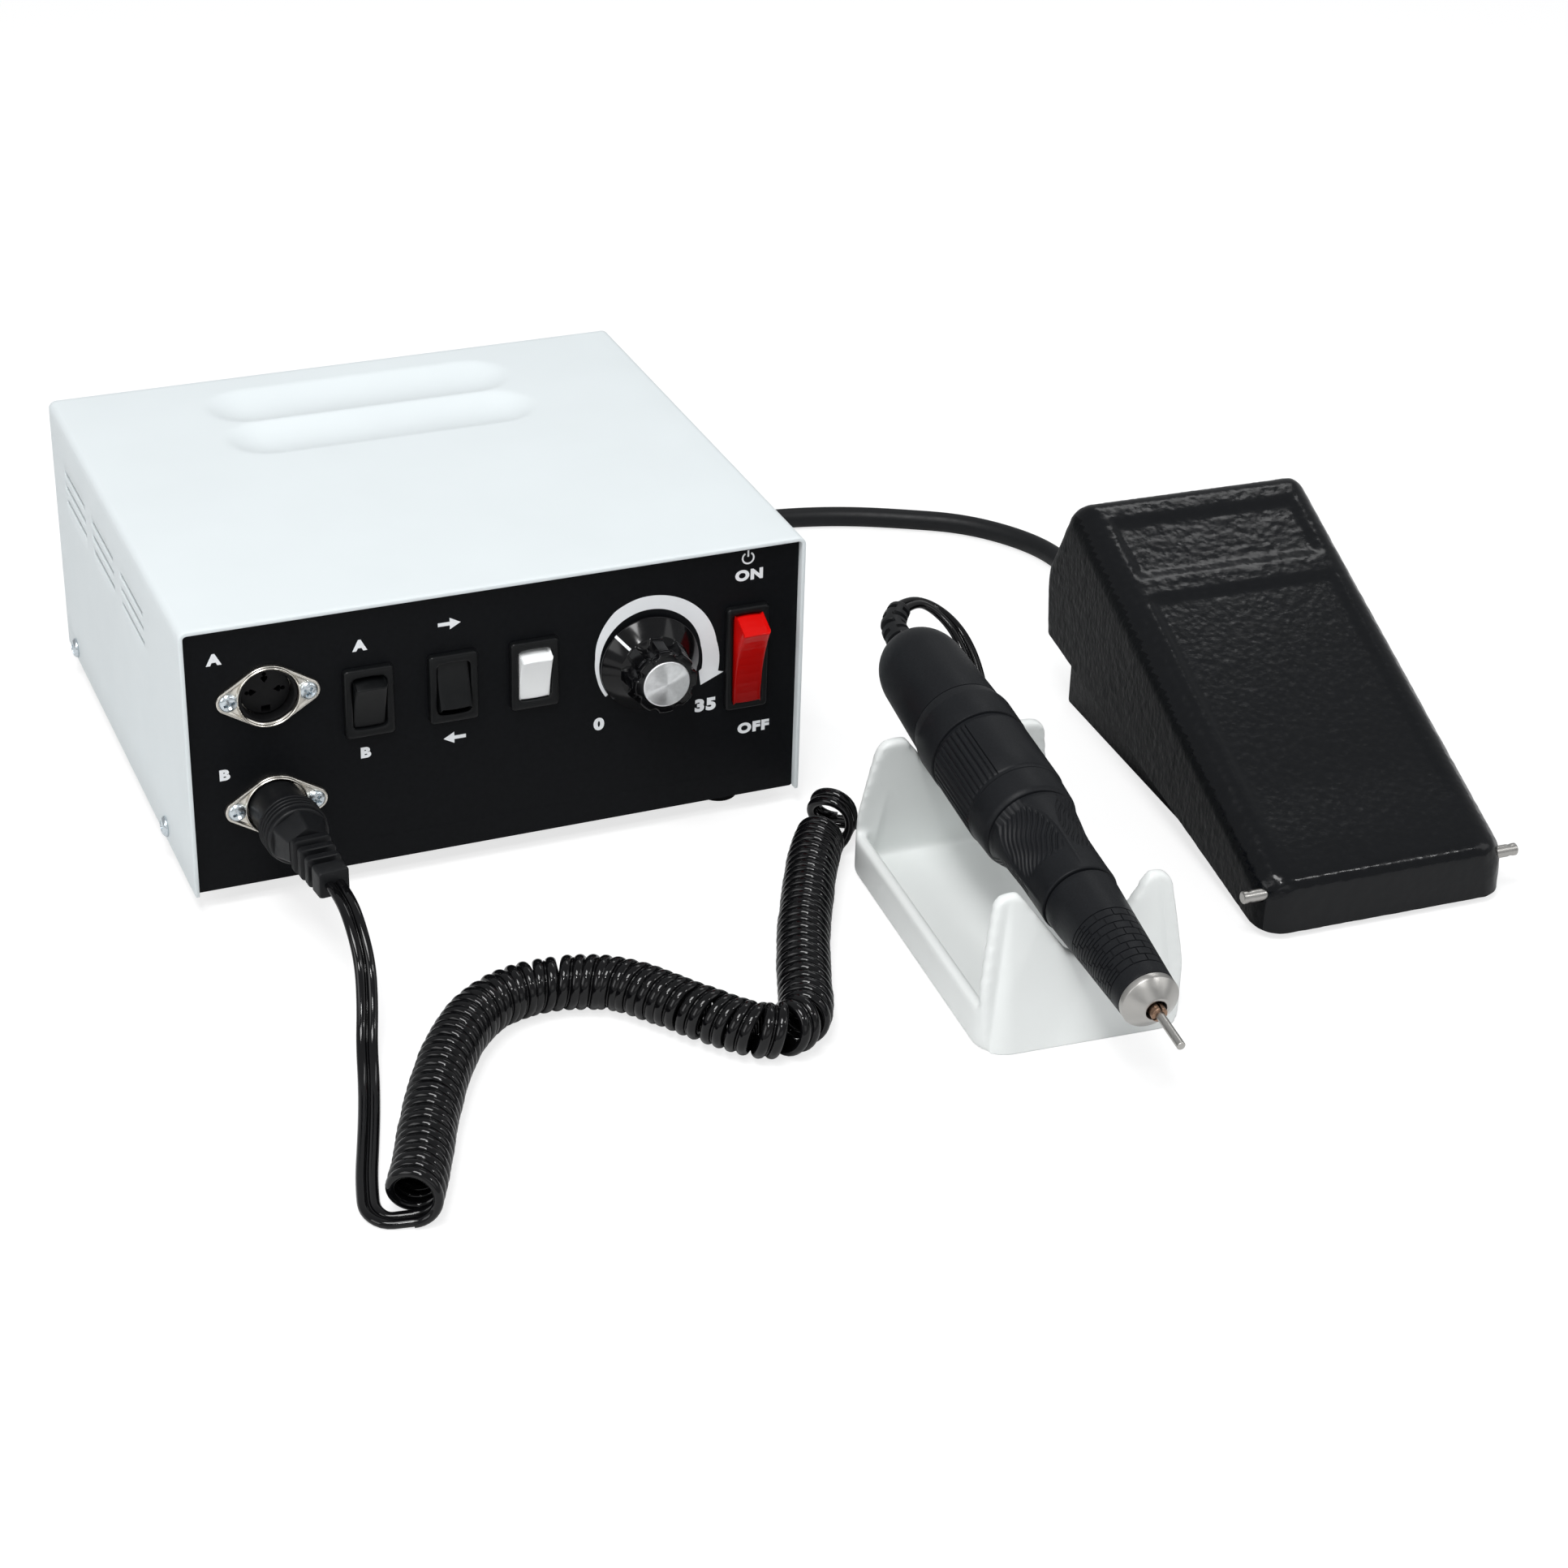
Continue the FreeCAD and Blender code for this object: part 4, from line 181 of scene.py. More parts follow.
class Paint:
    """Principled material whose colour, roughness and relief vary over the object's own surface."""

    def __init__(
        self, name, colour, roughness, metallic=0.0, shine=0.5, spread=0.05, mottle=0.06, grain=6.0, slot=None
    ):
        self.name = name
        self.slot = slot or name
        self.material = bpy.data.materials.new(name)
        self.material.use_nodes = True
        self.tree = self.material.node_tree
        self.shader = self.tree.nodes["Principled BSDF"]
        self.shader.inputs["Metallic"].default_value = metallic
        self.shader.inputs["Specular IOR Level"].default_value = shine
        self.coordinates = self.node("ShaderNodeTexCoord").outputs["Object"]
        self.normal = None
        dark = [channel * (1 - mottle) for channel in colour]
        light = [min(1.0, channel * (1 + mottle)) for channel in colour]
        self.tint(self.noise(grain, 5.0), dark, light)
        span = {"To_Min": max(roughness - spread, 0.02), "To_Max": roughness + spread}
        clouds = self.noise(grain * 0.37, 3.0)
        rough = self.node("ShaderNodeMapRange", Value=clouds, From_Min=0.3, From_Max=0.7, **span)
        self.feed("Roughness", rough.outputs["Result"])

    def node(self, kind, **inputs):
        return add_node(self.tree, kind, **inputs)

    def feed(self, socket, output):
        self.tree.links.new(output, self.shader.inputs[socket])
        return self

    def noise(self, size, detail=2.0, vector=None):
        """Cloudy pattern with spots of a size in millimetres."""
        vector = vector or self.coordinates
        cloud = self.node("ShaderNodeTexNoise", Scale=1 / (size * MM), Detail=detail, Vector=vector)
        return cloud.outputs["Fac"]

    def tint(self, source, first, second, low=0.3, high=0.7):
        ramp = self.node("ShaderNodeValToRGB", Fac=source)
        for element, position, colour in zip(ramp.color_ramp.elements, (low, high), (first, second)):
            element.position = position
            element.color = (*colour, 1)
        return self.feed("Base Color", ramp.outputs["Color"])

    def shaded_by_height(self, low_colour, high_colour, low, high):
        """Painted shade: colour that changes with the height above the floor, in metres, standing in for light
        that falls off lower down.
        """
        parts = self.node("ShaderNodeSeparateXYZ", Vector=self.coordinates)
        return self.tint(parts.outputs["Z"], low_colour, high_colour, low, high)

    def relief(self, source, depth):
        """Adds a bump of a depth in millimetres over the reliefs so far."""
        under = {"Normal": self.normal} if self.normal else {}
        bump = self.node("ShaderNodeBump", Distance=depth * MM, Strength=1.0, Height=source, **under)
        self.normal = bump.outputs["Normal"]
        return self.feed("Normal", self.normal)

    def grained(self, size, depth):
        return self.relief(self.noise(size), depth)

    def leathery(self, size, depth):
        """Coarse cast grain, longer up and down than across."""
        stretch = self.node("ShaderNodeMapping", Scale=(1.0, 1.0, 0.6), Vector=self.coordinates)
        return self.relief(self.noise(size, vector=stretch.outputs["Vector"]), depth)

    def dimpled(self, size, depth):
        scale = 1 / (size * MM)
        cells = self.node("ShaderNodeTexVoronoi", Scale=scale, Randomness=1.0, Vector=self.coordinates)
        cells.feature = "SMOOTH_F1"
        cells.inputs["Smoothness"].default_value = 0.6
        return self.relief(cells.outputs["Distance"], depth)

    def turned(self, axis):
        """Turning marks that run round an axis."""
        self.shader.inputs["Anisotropic"].default_value = 0.95
        tangent = self.node("ShaderNodeTangent")
        tangent.direction_type = "RADIAL"
        tangent.axis = axis
        return self.feed("Tangent", tangent.outputs["Tangent"])


coats = (
    Paint("case_paint", (0.735, 0.785, 0.80), 0.46, shine=0.3, mottle=0.012, grain=40).grained(0.45, 0.012),
    Paint("chassis_paint", (0.008, 0.0085, 0.009), 0.5, shine=0.25).grained(0.5, 0.02),
    Paint("panel_print", (0.0035, 0.004, 0.005), 0.45, shine=0.1, mottle=0.15, grain=1.2).grained(0.4, 0.02),
    Paint("print_white", (0.86, 0.88, 0.90), 0.5, mottle=0.02, slot="panel_print").grained(0.3, 0.004),
    Paint("rubber_black", (0.008, 0.008, 0.009), 0.7, shine=0.2).grained(0.3, 0.02),
    Paint("nickel", (0.72, 0.69, 0.63), 0.28, 1.0, mottle=0.04, grain=12).grained(4.0, 0.0003),
    Paint("zinc_steel", (0.66, 0.72, 0.76), 0.26, 1.0, mottle=0.04, grain=4).grained(3.0, 0.0003),
    Paint("insulator_black", (0.005, 0.005, 0.0055), 0.45, shine=0.2).grained(0.5, 0.01),
    Paint("moulded_black", (0.006, 0.0065, 0.0075), 0.42, shine=0.28).grained(0.35, 0.012),
    Paint("switch_black", (0.0045, 0.005, 0.0055), 0.34, shine=0.22).grained(0.3, 0.006),
    Paint("switch_white", (0.93, 0.945, 0.945), 0.2, mottle=0.01, spread=0.03).grained(1.5, 0.004),
    # The red lens is darker towards its lower end by painted shade of the light through it, not by its own
    # colour.
    Paint("lens_red", (0.5, 0.004, 0.005), 0.18, shine=0.18)
    .shaded_by_height((0.2, 0.0, 0.0), (0.62, 0.004, 0.003), 0.036, 0.06)
    .grained(1.0, 0.006),
    Paint("knob_black", (0.003, 0.003, 0.0035), 0.12, shine=0.3, spread=0.02).grained(1.6, 0.001),
    Paint("spun_aluminium", (0.90, 0.91, 0.92), 0.33, 1.0, spread=0.02, grain=1.0).turned("Y"),
    Paint("board_green", (0.02, 0.13, 0.06), 0.4).grained(2, 0.03),
    Paint("core_iron", (0.12, 0.12, 0.125), 0.5, 0.6).grained(0.6, 0.04),
    Paint("cradle_white", (0.80, 0.825, 0.815), 0.34, shine=0.35, mottle=0.01, grain=30).grained(0.9, 0.01),
    Paint("pedal_paint", (0.0035, 0.004, 0.005), 0.17, shine=0.26, spread=0.06)
    .dimpled(2.0, 0.06)
    .grained(0.7, 0.02),
    Paint("pedal_side", (0.003, 0.0034, 0.004), 0.46, shine=0.1, slot="pedal_paint")
    .leathery(1.5, 0.3)
    .grained(0.6, 0.02),
    Paint("pedal_plastic", (0.3, 0.3, 0.3), 0.5).grained(0.5, 0.02),
    Paint("grip_black", (0.0062, 0.007, 0.0086), 0.46, shine=0.2, mottle=0.2, grain=0.6).grained(0.3, 0.03),
    Paint("steel_bright", (0.47, 0.46, 0.44), 0.36, 1.0, mottle=0.03, grain=8).grained(3.0, 0.0012),
    Paint("collet_bronze", (0.30, 0.19, 0.13), 0.3, 1.0, grain=3.0).grained(1.5, 0.01),
    Paint("lead_black", (0.003, 0.003, 0.0035), 0.08, shine=0.34, spread=0.02).grained(2.5, 0.001),
    Paint("cord_rubber", (0.006, 0.0065, 0.0075), 0.45, shine=0.25).grained(0.8, 0.03),
)
paints = {paint.name: paint for paint in coats}

# Pieces


def dress(piece, body, paint, replaced=(), sharp=32.0):
    """Gives a finished mesh its shading, paint and body."""
    mesh = piece.data
    mesh.shade_smooth()
    mesh.set_sharp_from_angle(angle=math.radians(sharp))
    mesh.materials.clear()
    mesh.materials.append(paints[paint].material)
    if body:
        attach(piece, body)
    if replaced:
        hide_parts(*replaced)
    return piece


def new_object(name, mesh):
    piece = bpy.data.objects.new(name, mesh)
    scene.collection.objects.link(piece)
    return piece


def mesh_object(name, points, faces, place=None):
    """Closed mesh with doubles merged and its faces turned outwards."""
    mesh = bpy.data.meshes.new(name)
    mesh.from_pydata([tuple(point) for point in points], [], faces)
    if place is not None:
        mesh.transform(place)
    work = bmesh.new()
    work.from_mesh(mesh)
    bmesh.ops.remove_doubles(work, verts=work.verts, dist=1e-7)
    bmesh.ops.dissolve_degenerate(work, edges=work.edges, dist=1e-8)
    bmesh.ops.recalc_face_normals(work, faces=work.faces)
    work.to_mesh(mesh)
    work.free()
    return new_object(name, mesh)


def skin(name, place, rings, joined=False):
    """Surface through rings of equally many points, joined end to start or closed by end faces."""
    rings = np.asarray(rings, float)
    count, around = rings.shape[:2]
    faces = []
    for i in range(count if joined else count - 1):
        a = i * around
        b = ((i + 1) % count) * around
        for k in range(around):
            n = (k + 1) % around
            faces.append((a + k, a + n, b + n, b + k))
    if not joined:
        for ring, start in ((rings[0], 0), (rings[-1], (count - 1) * around)):
            if np.ptp(ring, axis=0).max() > 1e-5:
                faces.append(tuple(range(start, start + around)))
    return mesh_object(name, rings.reshape(-1, 3), faces, place)


def soften(points, size, steps=4, closed=False):
    """Polyline whose corners are rounded by up to a size, one for all or one for each point."""
    points = [np.array(point, float) for point in points]
    sizes = [size] * len(points) if np.isscalar(size) else list(size)
    result = []
    for i, point in enumerate(points):
        if not closed and i in (0, len(points) - 1):
            result.append(point)
            continue
        back = points[i - 1] - point
        ahead = points[(i + 1) % len(points)] - point
        reach = min(sizes[i], 0.45 * np.linalg.norm(back), 0.45 * np.linalg.norm(ahead))
        if reach < 1e-4:
            result.append(point)
            continue
        start = point + back / np.linalg.norm(back) * reach
        end = point + ahead / np.linalg.norm(ahead) * reach
        for k in range(steps + 1):
            t = k / steps
            result.append(start * (1 - t) ** 2 + point * 2 * t * (1 - t) + end * t**2)
    return result


def refine(points, step):
    """Adds points so that no run is longer than a step."""
    result = [np.array(points[0], float)]
    for point in points[1:]:
        point = np.array(point, float)
        pieces = max(1, math.ceil(np.linalg.norm(point - result[-1]) / step))
        start = result[-1]
        for k in range(1, pieces + 1):
            result.append(start + (point - start) * k / pieces)
    return result


def lathe(name, place, profile, around=96, shape=None, joined=False, angles=None):
    """Turned piece about X from (along, radius) points; shape may change the radius with the angle."""
    along = np.array([point[0] for point in profile])[:, None]
    radius = np.array([point[1] for point in profile])[:, None]
    angle = np.linspace(0, 2 * np.pi, around, endpoint=False) if angles is None else np.asarray(angles)
    angle = angle[None, :]
    wide = shape(along, radius, angle) if shape else radius + 0 * angle
    rings = np.stack([along + 0 * angle, wide * np.cos(angle), wide * np.sin(angle)], -1)
    return skin(name, place, rings, joined)


def arc(centre, radius, start, end, steps, first=0):
    """Points of an arc between two angles in degrees, from the first step on."""
    turns = [math.radians(start + (end - start) * k / steps) for k in range(first, steps + 1)]
    return [(centre[0] + radius * math.cos(turn), centre[1] + radius * math.sin(turn)) for turn in turns]


def round_hull(circles, x, count=96):
    """Loop round several circles given as (y, z, radius), as a band laid tight about them."""
    loop = []
    for k in range(count):
        angle = 2 * math.pi * (k + 0.5) / count
        normal = (math.cos(angle), math.sin(angle))
        y, z, r = max(circles, key=lambda c: c[0] * normal[0] + c[1] * normal[1] + c[2])
        loop.append((x, y + r * normal[0], z + r * normal[1]))
    return loop


def bowed_loop(x, size, corner, bow=0.0):
    """Rounded rectangle at a depth x, its top and bottom edges bowed outwards."""
    half_y, half_z = size[0] / 2, size[1] / 2
    y, z = half_y - corner, half_z - corner
    centres = ((y, z), (-y, z), (-y, -z), (y, -z))
    corners = [arc(centre, corner, 90 * i, 90 * i + 90, 6) for i, centre in enumerate(centres)]
    loop = []
    for points, ahead in zip(corners, corners[1:] + corners[:1]):
        last, first = np.array(points[-1]), np.array(ahead[0])
        loop += points[:-1] + [last + (first - last) * k / 6 for k in range(6)]
    reach = [math.copysign(bow, z) * (1 - (y / half_y) ** 2) * min(1.0, abs(z) / half_z) for y, z in loop]
    return [(x, y, z + out) for (y, z), out in zip(loop, reach)]


def settle(piece):
    """Applies the modifiers of a piece to its mesh."""
    graph = bpy.context.evaluated_depsgraph_get()
    mesh = bpy.data.meshes.new_from_object(piece.evaluated_get(graph))
    piece.modifiers.clear()
    piece.data = mesh
    return piece


def modify(piece, kind, **settings):
    """Adds a modifier to a piece."""
    tool = piece.modifiers.new(kind.lower(), kind)
    for name, value in settings.items():
        setattr(tool, name, value)
    return piece


def bevel(piece, width, angle=35.0, segments=2):
    """Rounds the edges of a piece that turn more than an angle."""
    limit = {"limit_method": "ANGLE", "angle_limit": math.radians(angle), "use_clamp_overlap": True}
    return settle(modify(piece, "BEVEL", width=width * MM, segments=segments, harden_normals=False, **limit))


def cad_copy(name, node):
    """Copy of a CAD node's mesh, its flat faces whole again, to be worked on."""
    mesh = frame["nodes"][node].data.copy()
    work = bmesh.new()
    work.from_mesh(mesh)
    bmesh.ops.remove_doubles(work, verts=work.verts, dist=1e-6)
    bmesh.ops.dissolve_limit(work, angle_limit=math.radians(1.0), verts=work.verts, edges=work.edges)
    work.to_mesh(mesh)
    work.free()
    mesh.name = name
    return new_object(name, mesh)


def melt(piece, place, voxel, rounds):
    """Rounds the edges of a piece as a moulding's or a casting's are, in the frame of its place."""
    piece.data.transform(place.inverted())
    modify(piece, "REMESH", mode="VOXEL", voxel_size=voxel)
    return settle(modify(piece, "SMOOTH", factor=0.5, iterations=rounds))


def cut_away(piece, cutter):
    """Takes a cutter's room out of a piece."""
    settle(modify(piece, "BOOLEAN", object=cutter, operation="DIFFERENCE", solver="EXACT"))
    bpy.data.objects.remove(cutter)


# Cords


def smooth_route(points, detail=10):
    """Points along the smooth curve that a cord's control points draw."""
    curve = bpy.data.curves.new("route", "CURVE")
    curve.dimensions = "3D"
    curve.resolution_u = detail
    spline = curve.splines.new("NURBS")
    spline.points.add(len(points) - 1)
    for target, point in zip(spline.points, points):
        target.co = (*point, 1)
    spline.order_u = 3
    spline.use_endpoint_u = True
    holder = new_object("route", curve)
    mesh = bpy.data.meshes.new_from_object(holder)
    line = np.array([vertex.co for vertex in mesh.vertices])
    bpy.data.objects.remove(holder)
    bpy.data.curves.remove(curve)
    bpy.data.meshes.remove(mesh)
    return line


def run_lengths(line):
    steps = np.linalg.norm(np.diff(line, axis=0), axis=1)
    return np.concatenate([[0], np.cumsum(steps)])


def along_line(line, at):
    """Points at distances along a line."""
    lengths = run_lengths(line)
    at = np.clip(at, 0, lengths[-1])
    return np.stack([np.interp(at, lengths, line[:, k]) for k in range(3)], -1)


def spaced(line, step):
    """The same line with even steps."""
    total = run_lengths(line)[-1]
    return along_line(line, np.linspace(0, total, max(2, round(total / step)) + 1))


def unit_rows(rows):
    return rows / np.linalg.norm(rows, axis=1)[:, None]


def headings(line):
    return unit_rows(np.gradient(line, axis=0))


def sweep(name, line, across, section):
    """Section of (across, above) points carried along a line in metres."""
    heading = headings(line)
    across = unit_rows(across - heading * np.sum(across * heading, axis=1)[:, None])
    above = np.cross(across, heading)
    section = np.array(section) * MM
    rings = line[:, None, :] + across[:, None, :] * section[None, :, 0:1]
    return skin(name, None, rings + above[:, None, :] * section[None, :, 1:2])


def level_across(line):
    return np.cross(headings(line), UP)


def ribbon_section(size):
    """Flat cord: two full ridges side by side and a fine ridge in the valley between them."""
    middle, wide, thick, fine = (size * share for share in (0.252, 0.236, 0.2, 0.045))
    valley = math.acos((fine * 1.25 - middle) / wide)
    top = [(middle + wide * math.cos(valley * k / 9), thick * math.sin(valley * k / 9)) for k in range(1, 10)]
    low = thick * 0.2
    top.append((fine * 1.15, low))
    top += [(fine * math.cos(math.pi * k / 4), low + fine * (0.2 + math.sin(math.pi * k / 4))) for k in range(5)]
    half = top + [(-x, y) for x, y in reversed(top[:10])] + [(-middle - wide, 0)]
    return half + [(-x, -y) for x, y in half]


def round_section(radius, sides=20):
    angles = [2 * math.pi * k / sides for k in range(sides)]
    return [(radius * math.cos(angle), radius * math.sin(angle)) for angle in angles]


plug_place = panel_place(*lower_socket, -1.4) @ turned(4.2, "Z") @ turned(-0.8, "Y")
plug_length = 44.0
lead_width = 5.8
coil_width = 6.7
coil_middle_radius = 6.1
coil_height = 7.6
coil_turns = 42
coil_loose_gap = 9.0

coil_points = [
    (15.2, -154.5), (20.6, -143.6), (26.2, -129.8), (33.2, -114.6), (41.2, -99.8), (50.2, -87.4),
    (60.2, -79.4), (71.6, -76.6), (83.4, -78.0), (94.0, -82.6), (101.6, -92.0), (108.8, -102.6),
    (114.6, -110.2), (119.6, -116.2), (126.6, -119.0), (133.2, -116.6), (137.0, -110.0), (140.6, -100.0),
    (145.0, -89.0), (150.2, -76.6), (156.6, -63.8), (162.8, -51.2), (168.6, -40.6), (173.4, -33.0),
]

coil_end_points = [(177.8, -27.6, 7.7), (182.0, -22.4, 8.2), (184.8, -19.0, 9.6)]

lead_points = [
    (28.4, -62.0, 28.0), (28.2, -71.0, 21.5), (26.6, -77.5, 13.0), (23.9, -85.0, 5.6), (21.0, -96.5, 1.8),
    (17.2, -109.5, 1.3), (13.2, -122.0, 1.25), (9.6, -133.0, 1.25), (7.4, -141.2, 1.25), (6.2, -146.6, 1.3),
    (6.9, -150.4, 1.3),
]

tail_points = [
    (201.5, -23.4, 1.7), (210.5, -27.4, 2.4), (218.6, -27.6, 4.8), (225.8, -24.6, 8.6),
    (231.4, -19.4, 15.2), (234.6, -12.6, 23.5), (236.2, -5.0, 32.0), (236.4, 3.0, 40.0),
    (234.0, 10.2, 46.6), (228.4, 14.8, 51.6), (221.8, 14.4, 54.2),
]

relief_points = [(210.2, -1.5, 52.0), (211.4, 5.2, 53.3), (216.4, 10.4, 54.3)]

cable_diameter = 6.8
cable_height = 3.45

pedal_cord_points = [
    (318.6, 50.0, 6.0), (320.6, 68.0, 3.8), (324.2, 88.0, 3.5), (327.6, 107.0, 3.45), (326.8, 125.5, 3.45),
    (319.6, 141.5, 3.45), (307.6, 155.6, 3.45), (291.6, 164.8, 3.45), (273.8, 173.6, 3.45),
    (255.0, 179.2, 3.45), (234.8, 181.6, 3.45), (213.0, 181.4, 3.45), (190.0, 181.6, 3.45),
    (166.0, 182.2, 3.45), (142.0, 182.6, 3.45), (120.0, 182.5, 3.45),
]


def coil_line():
    """Line of the curly lead, wound about its centre, and its outward direction at each point."""
    route = [(x, y, coil_height) for x, y in coil_points] + coil_end_points
    centre = smooth_route(unit_points(route))
    total = run_lengths(centre)[-1]
    turn = np.linspace(0, coil_turns, coil_turns * 36 + 1)
    even = (total - coil_loose_gap * MM) / coil_turns
    loose = clamp((turn - (coil_turns - 1.2)) / 0.6)
    loose = loose * loose * (3 - 2 * loose)
    at = turn * even + coil_loose_gap * MM * loose
    ends = clamp(np.minimum(turn, coil_turns - turn))
    at = at + ends * MM * (0.45 * np.sin(turn * 0.83) + 0.3 * np.sin(turn * 1.91 + 1.0))
    spot = along_line(centre, at)
    nudge = 3 * MM
    heading = unit_rows(along_line(centre, at + nudge) - along_line(centre, at - nudge))
    right = unit_rows(np.cross(heading, UP))
    above = np.cross(right, heading)
    angle = 2 * np.pi * turn - np.pi / 2
    outward = right * np.cos(angle)[:, None] + above * np.sin(angle)[:, None]
    reach = coil_middle_radius * (1 + 0.012 * np.sin(turn * 2.3) * ends + 0.05 * loose)
    return spot + outward * (reach * MM)[:, None], outward


def make_lead():
    section = ribbon_section(lead_width)
    coil, outward = coil_line()
    heading = headings(coil)
    coil_piece = sweep("lead_coil", coil, np.cross(heading, outward), ribbon_section(coil_width))
    dress(coil_piece, "set", "lead_black", ["cord_coil"], sharp=60)
    start, end = coil[0], coil[-1]

    lead_step = 1.2 * MM
    plug_end, past_plug = (plug_place @ Vector((at, 0, 0)) for at in (plug_length, plug_length + 8))
    points = [plug_end, past_plug] + unit_points(lead_points)
    points += [Vector(start - heading[0] * back * MM) for back in (6.5, 3, 0)]
    lead = spaced(smooth_route(points), lead_step)
    lead_piece = sweep("lead_from_plug", lead, level_across(lead), section)
    dress(lead_piece, "set", "lead_black", ["cord_lead"], sharp=60)

    relief_end = unit_point(*relief_points[-1])
    points = [Vector(end + heading[-1] * ahead * MM) for ahead in (0, 3, 8)]
    points += unit_points(tail_points) + [relief_end]
    tail = spaced(smooth_route(points), lead_step)
    tail_piece = sweep("lead_to_handpiece", tail, level_across(tail), section)
    dress(tail_piece, None, "lead_black", ["cord_tail"], sharp=60)
    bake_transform(tail_piece)


def pile_points():
    """Cord put away behind the control unit: a spiral in, a climb and a spiral out on top."""
    inward, reverse, outward = 2.75, 0.5, 2.5
    outer, step, low = 43.5, cable_diameter, cable_height
    middle_x, middle_y = 98, 226
    loosen = 1.008
    inner = outer - step * inward
    total = inward + reverse + outward
    count = round(total * 16)
    points = []
    for k in range(count + 1):
        turn = total * k / count
        if turn <= inward:
            radius, height = outer - step * turn, low
        elif turn <= inward + reverse:
            part = (turn - inward) / reverse
            radius = inner - 1.7 * math.sin(math.pi * part)
            height = low + step * (part - math.sin(2 * math.pi * part) / (2 * math.pi))
        else:
            radius, height = inner + step * (turn - inward - reverse), low + step
        angle = -math.pi / 2 - 2 * math.pi * turn
        radius *= loosen
        points.append((middle_x + radius * math.cos(angle), middle_y + radius * math.sin(angle), height))
    return unit_points(points)


def make_pedal_cord():
    gland, past_gland = (pedal_place @ Vector((pedal_middle, v, 9.0)) for v in (150.5, 159.5))
    pile = pile_points()
    first = (pile[1] - pile[0]).normalized()
    last = (pile[-1] - pile[-2]).normalized()
    unit_gland = unit_point(141.5, 174.5, 21.0)
    points = [gland, past_gland] + unit_points(pedal_cord_points)
    points += [pile[0] - first * 12 * MM] + pile + [pile[-1] + last * 12 * MM]
    points += [unit_gland + Vector(away) * MM for away in ((0, 20, -4.5), (0, 8, 0), (0, 0, 0))]
    line = spaced(smooth_route(points, 8), 2.2 * MM)
    piece = sweep("pedal_cable", line, level_across(line), round_section(cable_diameter / 2))
    dress(piece, "set", "cord_rubber", ["pedal_cord", "pedal_cord_coil", "pedal_cord_end"], sharp=60)


# Control unit


def cover_depth(x, y):
    """Depth of the two pressed troughs across the top of the cover."""
    depth = 0.0
    half, left, right, deepest = 12.5, 44.3, 139.0, 2.7
    for middle in (117.6, 142.4):
        nearest = min(max(x, left + half), right - half)
        away = math.hypot((x - nearest) * (0.95 if x < nearest else 1.0), y - middle) / half
        if away < 1:
            depth = max(depth, deepest * (1 - away**2) ** 1.15)
    return depth


def make_cover():
    """Bent sheet with two pressed troughs on top and three rows of slots in each side."""
    bend, sheet = 2.4, 1.2
    slot_rows, slot_pitch, slot_length, slot_step = 62.9, 4.7, 28, 37
    side = [6, 20, 34, 48, 57, 62.1, 63.7, 66.8, 68.4, 71.5, 73.1, 78, 84]
    profile = [(0.0, z) for z in side]
    profile += arc((bend, unit_top - bend), bend, 180, 90, 6, first=1)
    profile += [(x, unit_top) for x in (14, 26, 38, *(42 + 1.5 * k for k in range(67)), 150, 162, 172)]
    profile += arc((unit_width - bend, unit_top - bend), bend, 90, 0, 6)
    profile += [(unit_width, z) for z in reversed(side[:-1])]
    slots = [(45 + slot_step * k, 45 + slot_length + slot_step * k) for k in range(3)]
    depths = sorted({*range(103, 158), 0, 2, 15, 30, 60, 90, 163, unit_depth}.union(*slots))
    points = []
    for x, z in profile:
        for y in depths:
            drop = cover_depth(x, y) if z == unit_top else 0
            points.append((x, y, z - drop))
    faces = []
    rows = len(depths)
    for i in range(len(profile) - 1):
        (x0, z0), (x1, z1) = profile[i], profile[i + 1]
        level = (z0 + z1) / 2
        on_side = x0 == x1
        in_row = any(abs(level - (slot_rows + slot_pitch * k)) < 0.5 for k in range(3))
        for j in range(rows - 1):
            middle = (depths[j] + depths[j + 1]) / 2
            if on_side and in_row and any(a < middle < b for a, b in slots):
                continue
            a = i * rows + j
            faces.append((a, a + rows, a + rows + 1, a + 1))
    mesh = bpy.data.meshes.new("cover_shell")
    mesh.from_pydata(points, [], faces)
    mesh.transform(unit_place)
    piece = new_object("cover_shell", mesh)
    if max(mesh.polygons, key=lambda face: face.center.z).normal.z < 0:
        mesh.flip_normals()
    settle(modify(piece, "SOLIDIFY", thickness=sheet * MM, offset=-1))
    bevel(piece, 0.28, 50)
    dress(piece, "set", "case_paint", ["cover"], sharp=40)


def make_screw_head():
    """Pan head with a cross recess, made once and copied."""
    radius, height = 2.9, 1.5
    profile = [(0, 0), (0, radius), (height * 0.35, radius), (height * 0.8, radius * 0.8)]
    profile += [(height, radius * 0.45), (height, 0)]
    head = lathe("screw_head", None, soften(profile, 0.5), 48)
    for turn in (0, 1):
        blade = []
        for x, wide, long in ((height - 1.2, 0.3, radius * 0.34), (height + 0.2, 0.46, radius * 0.66)):
            corners = [(long, wide), (-long, wide), (-long, -wide), (long, -wide)]
            blade.append([(x, y, z) if turn == 0 else (x, z, -y) for y, z in corners])
        cut_away(head, skin("cross", None, blade))
    mesh = head.data
    bpy.data.objects.remove(head)
    return mesh


screw_mesh = make_screw_head()


def put_screw(name, place, turn, size):
    mesh = screw_mesh.copy()
    mesh.transform(place @ turned(turn) @ Matrix.Scale(size, 4))
    dress(new_object(name, mesh), "set", "zinc_steel", sharp=30)


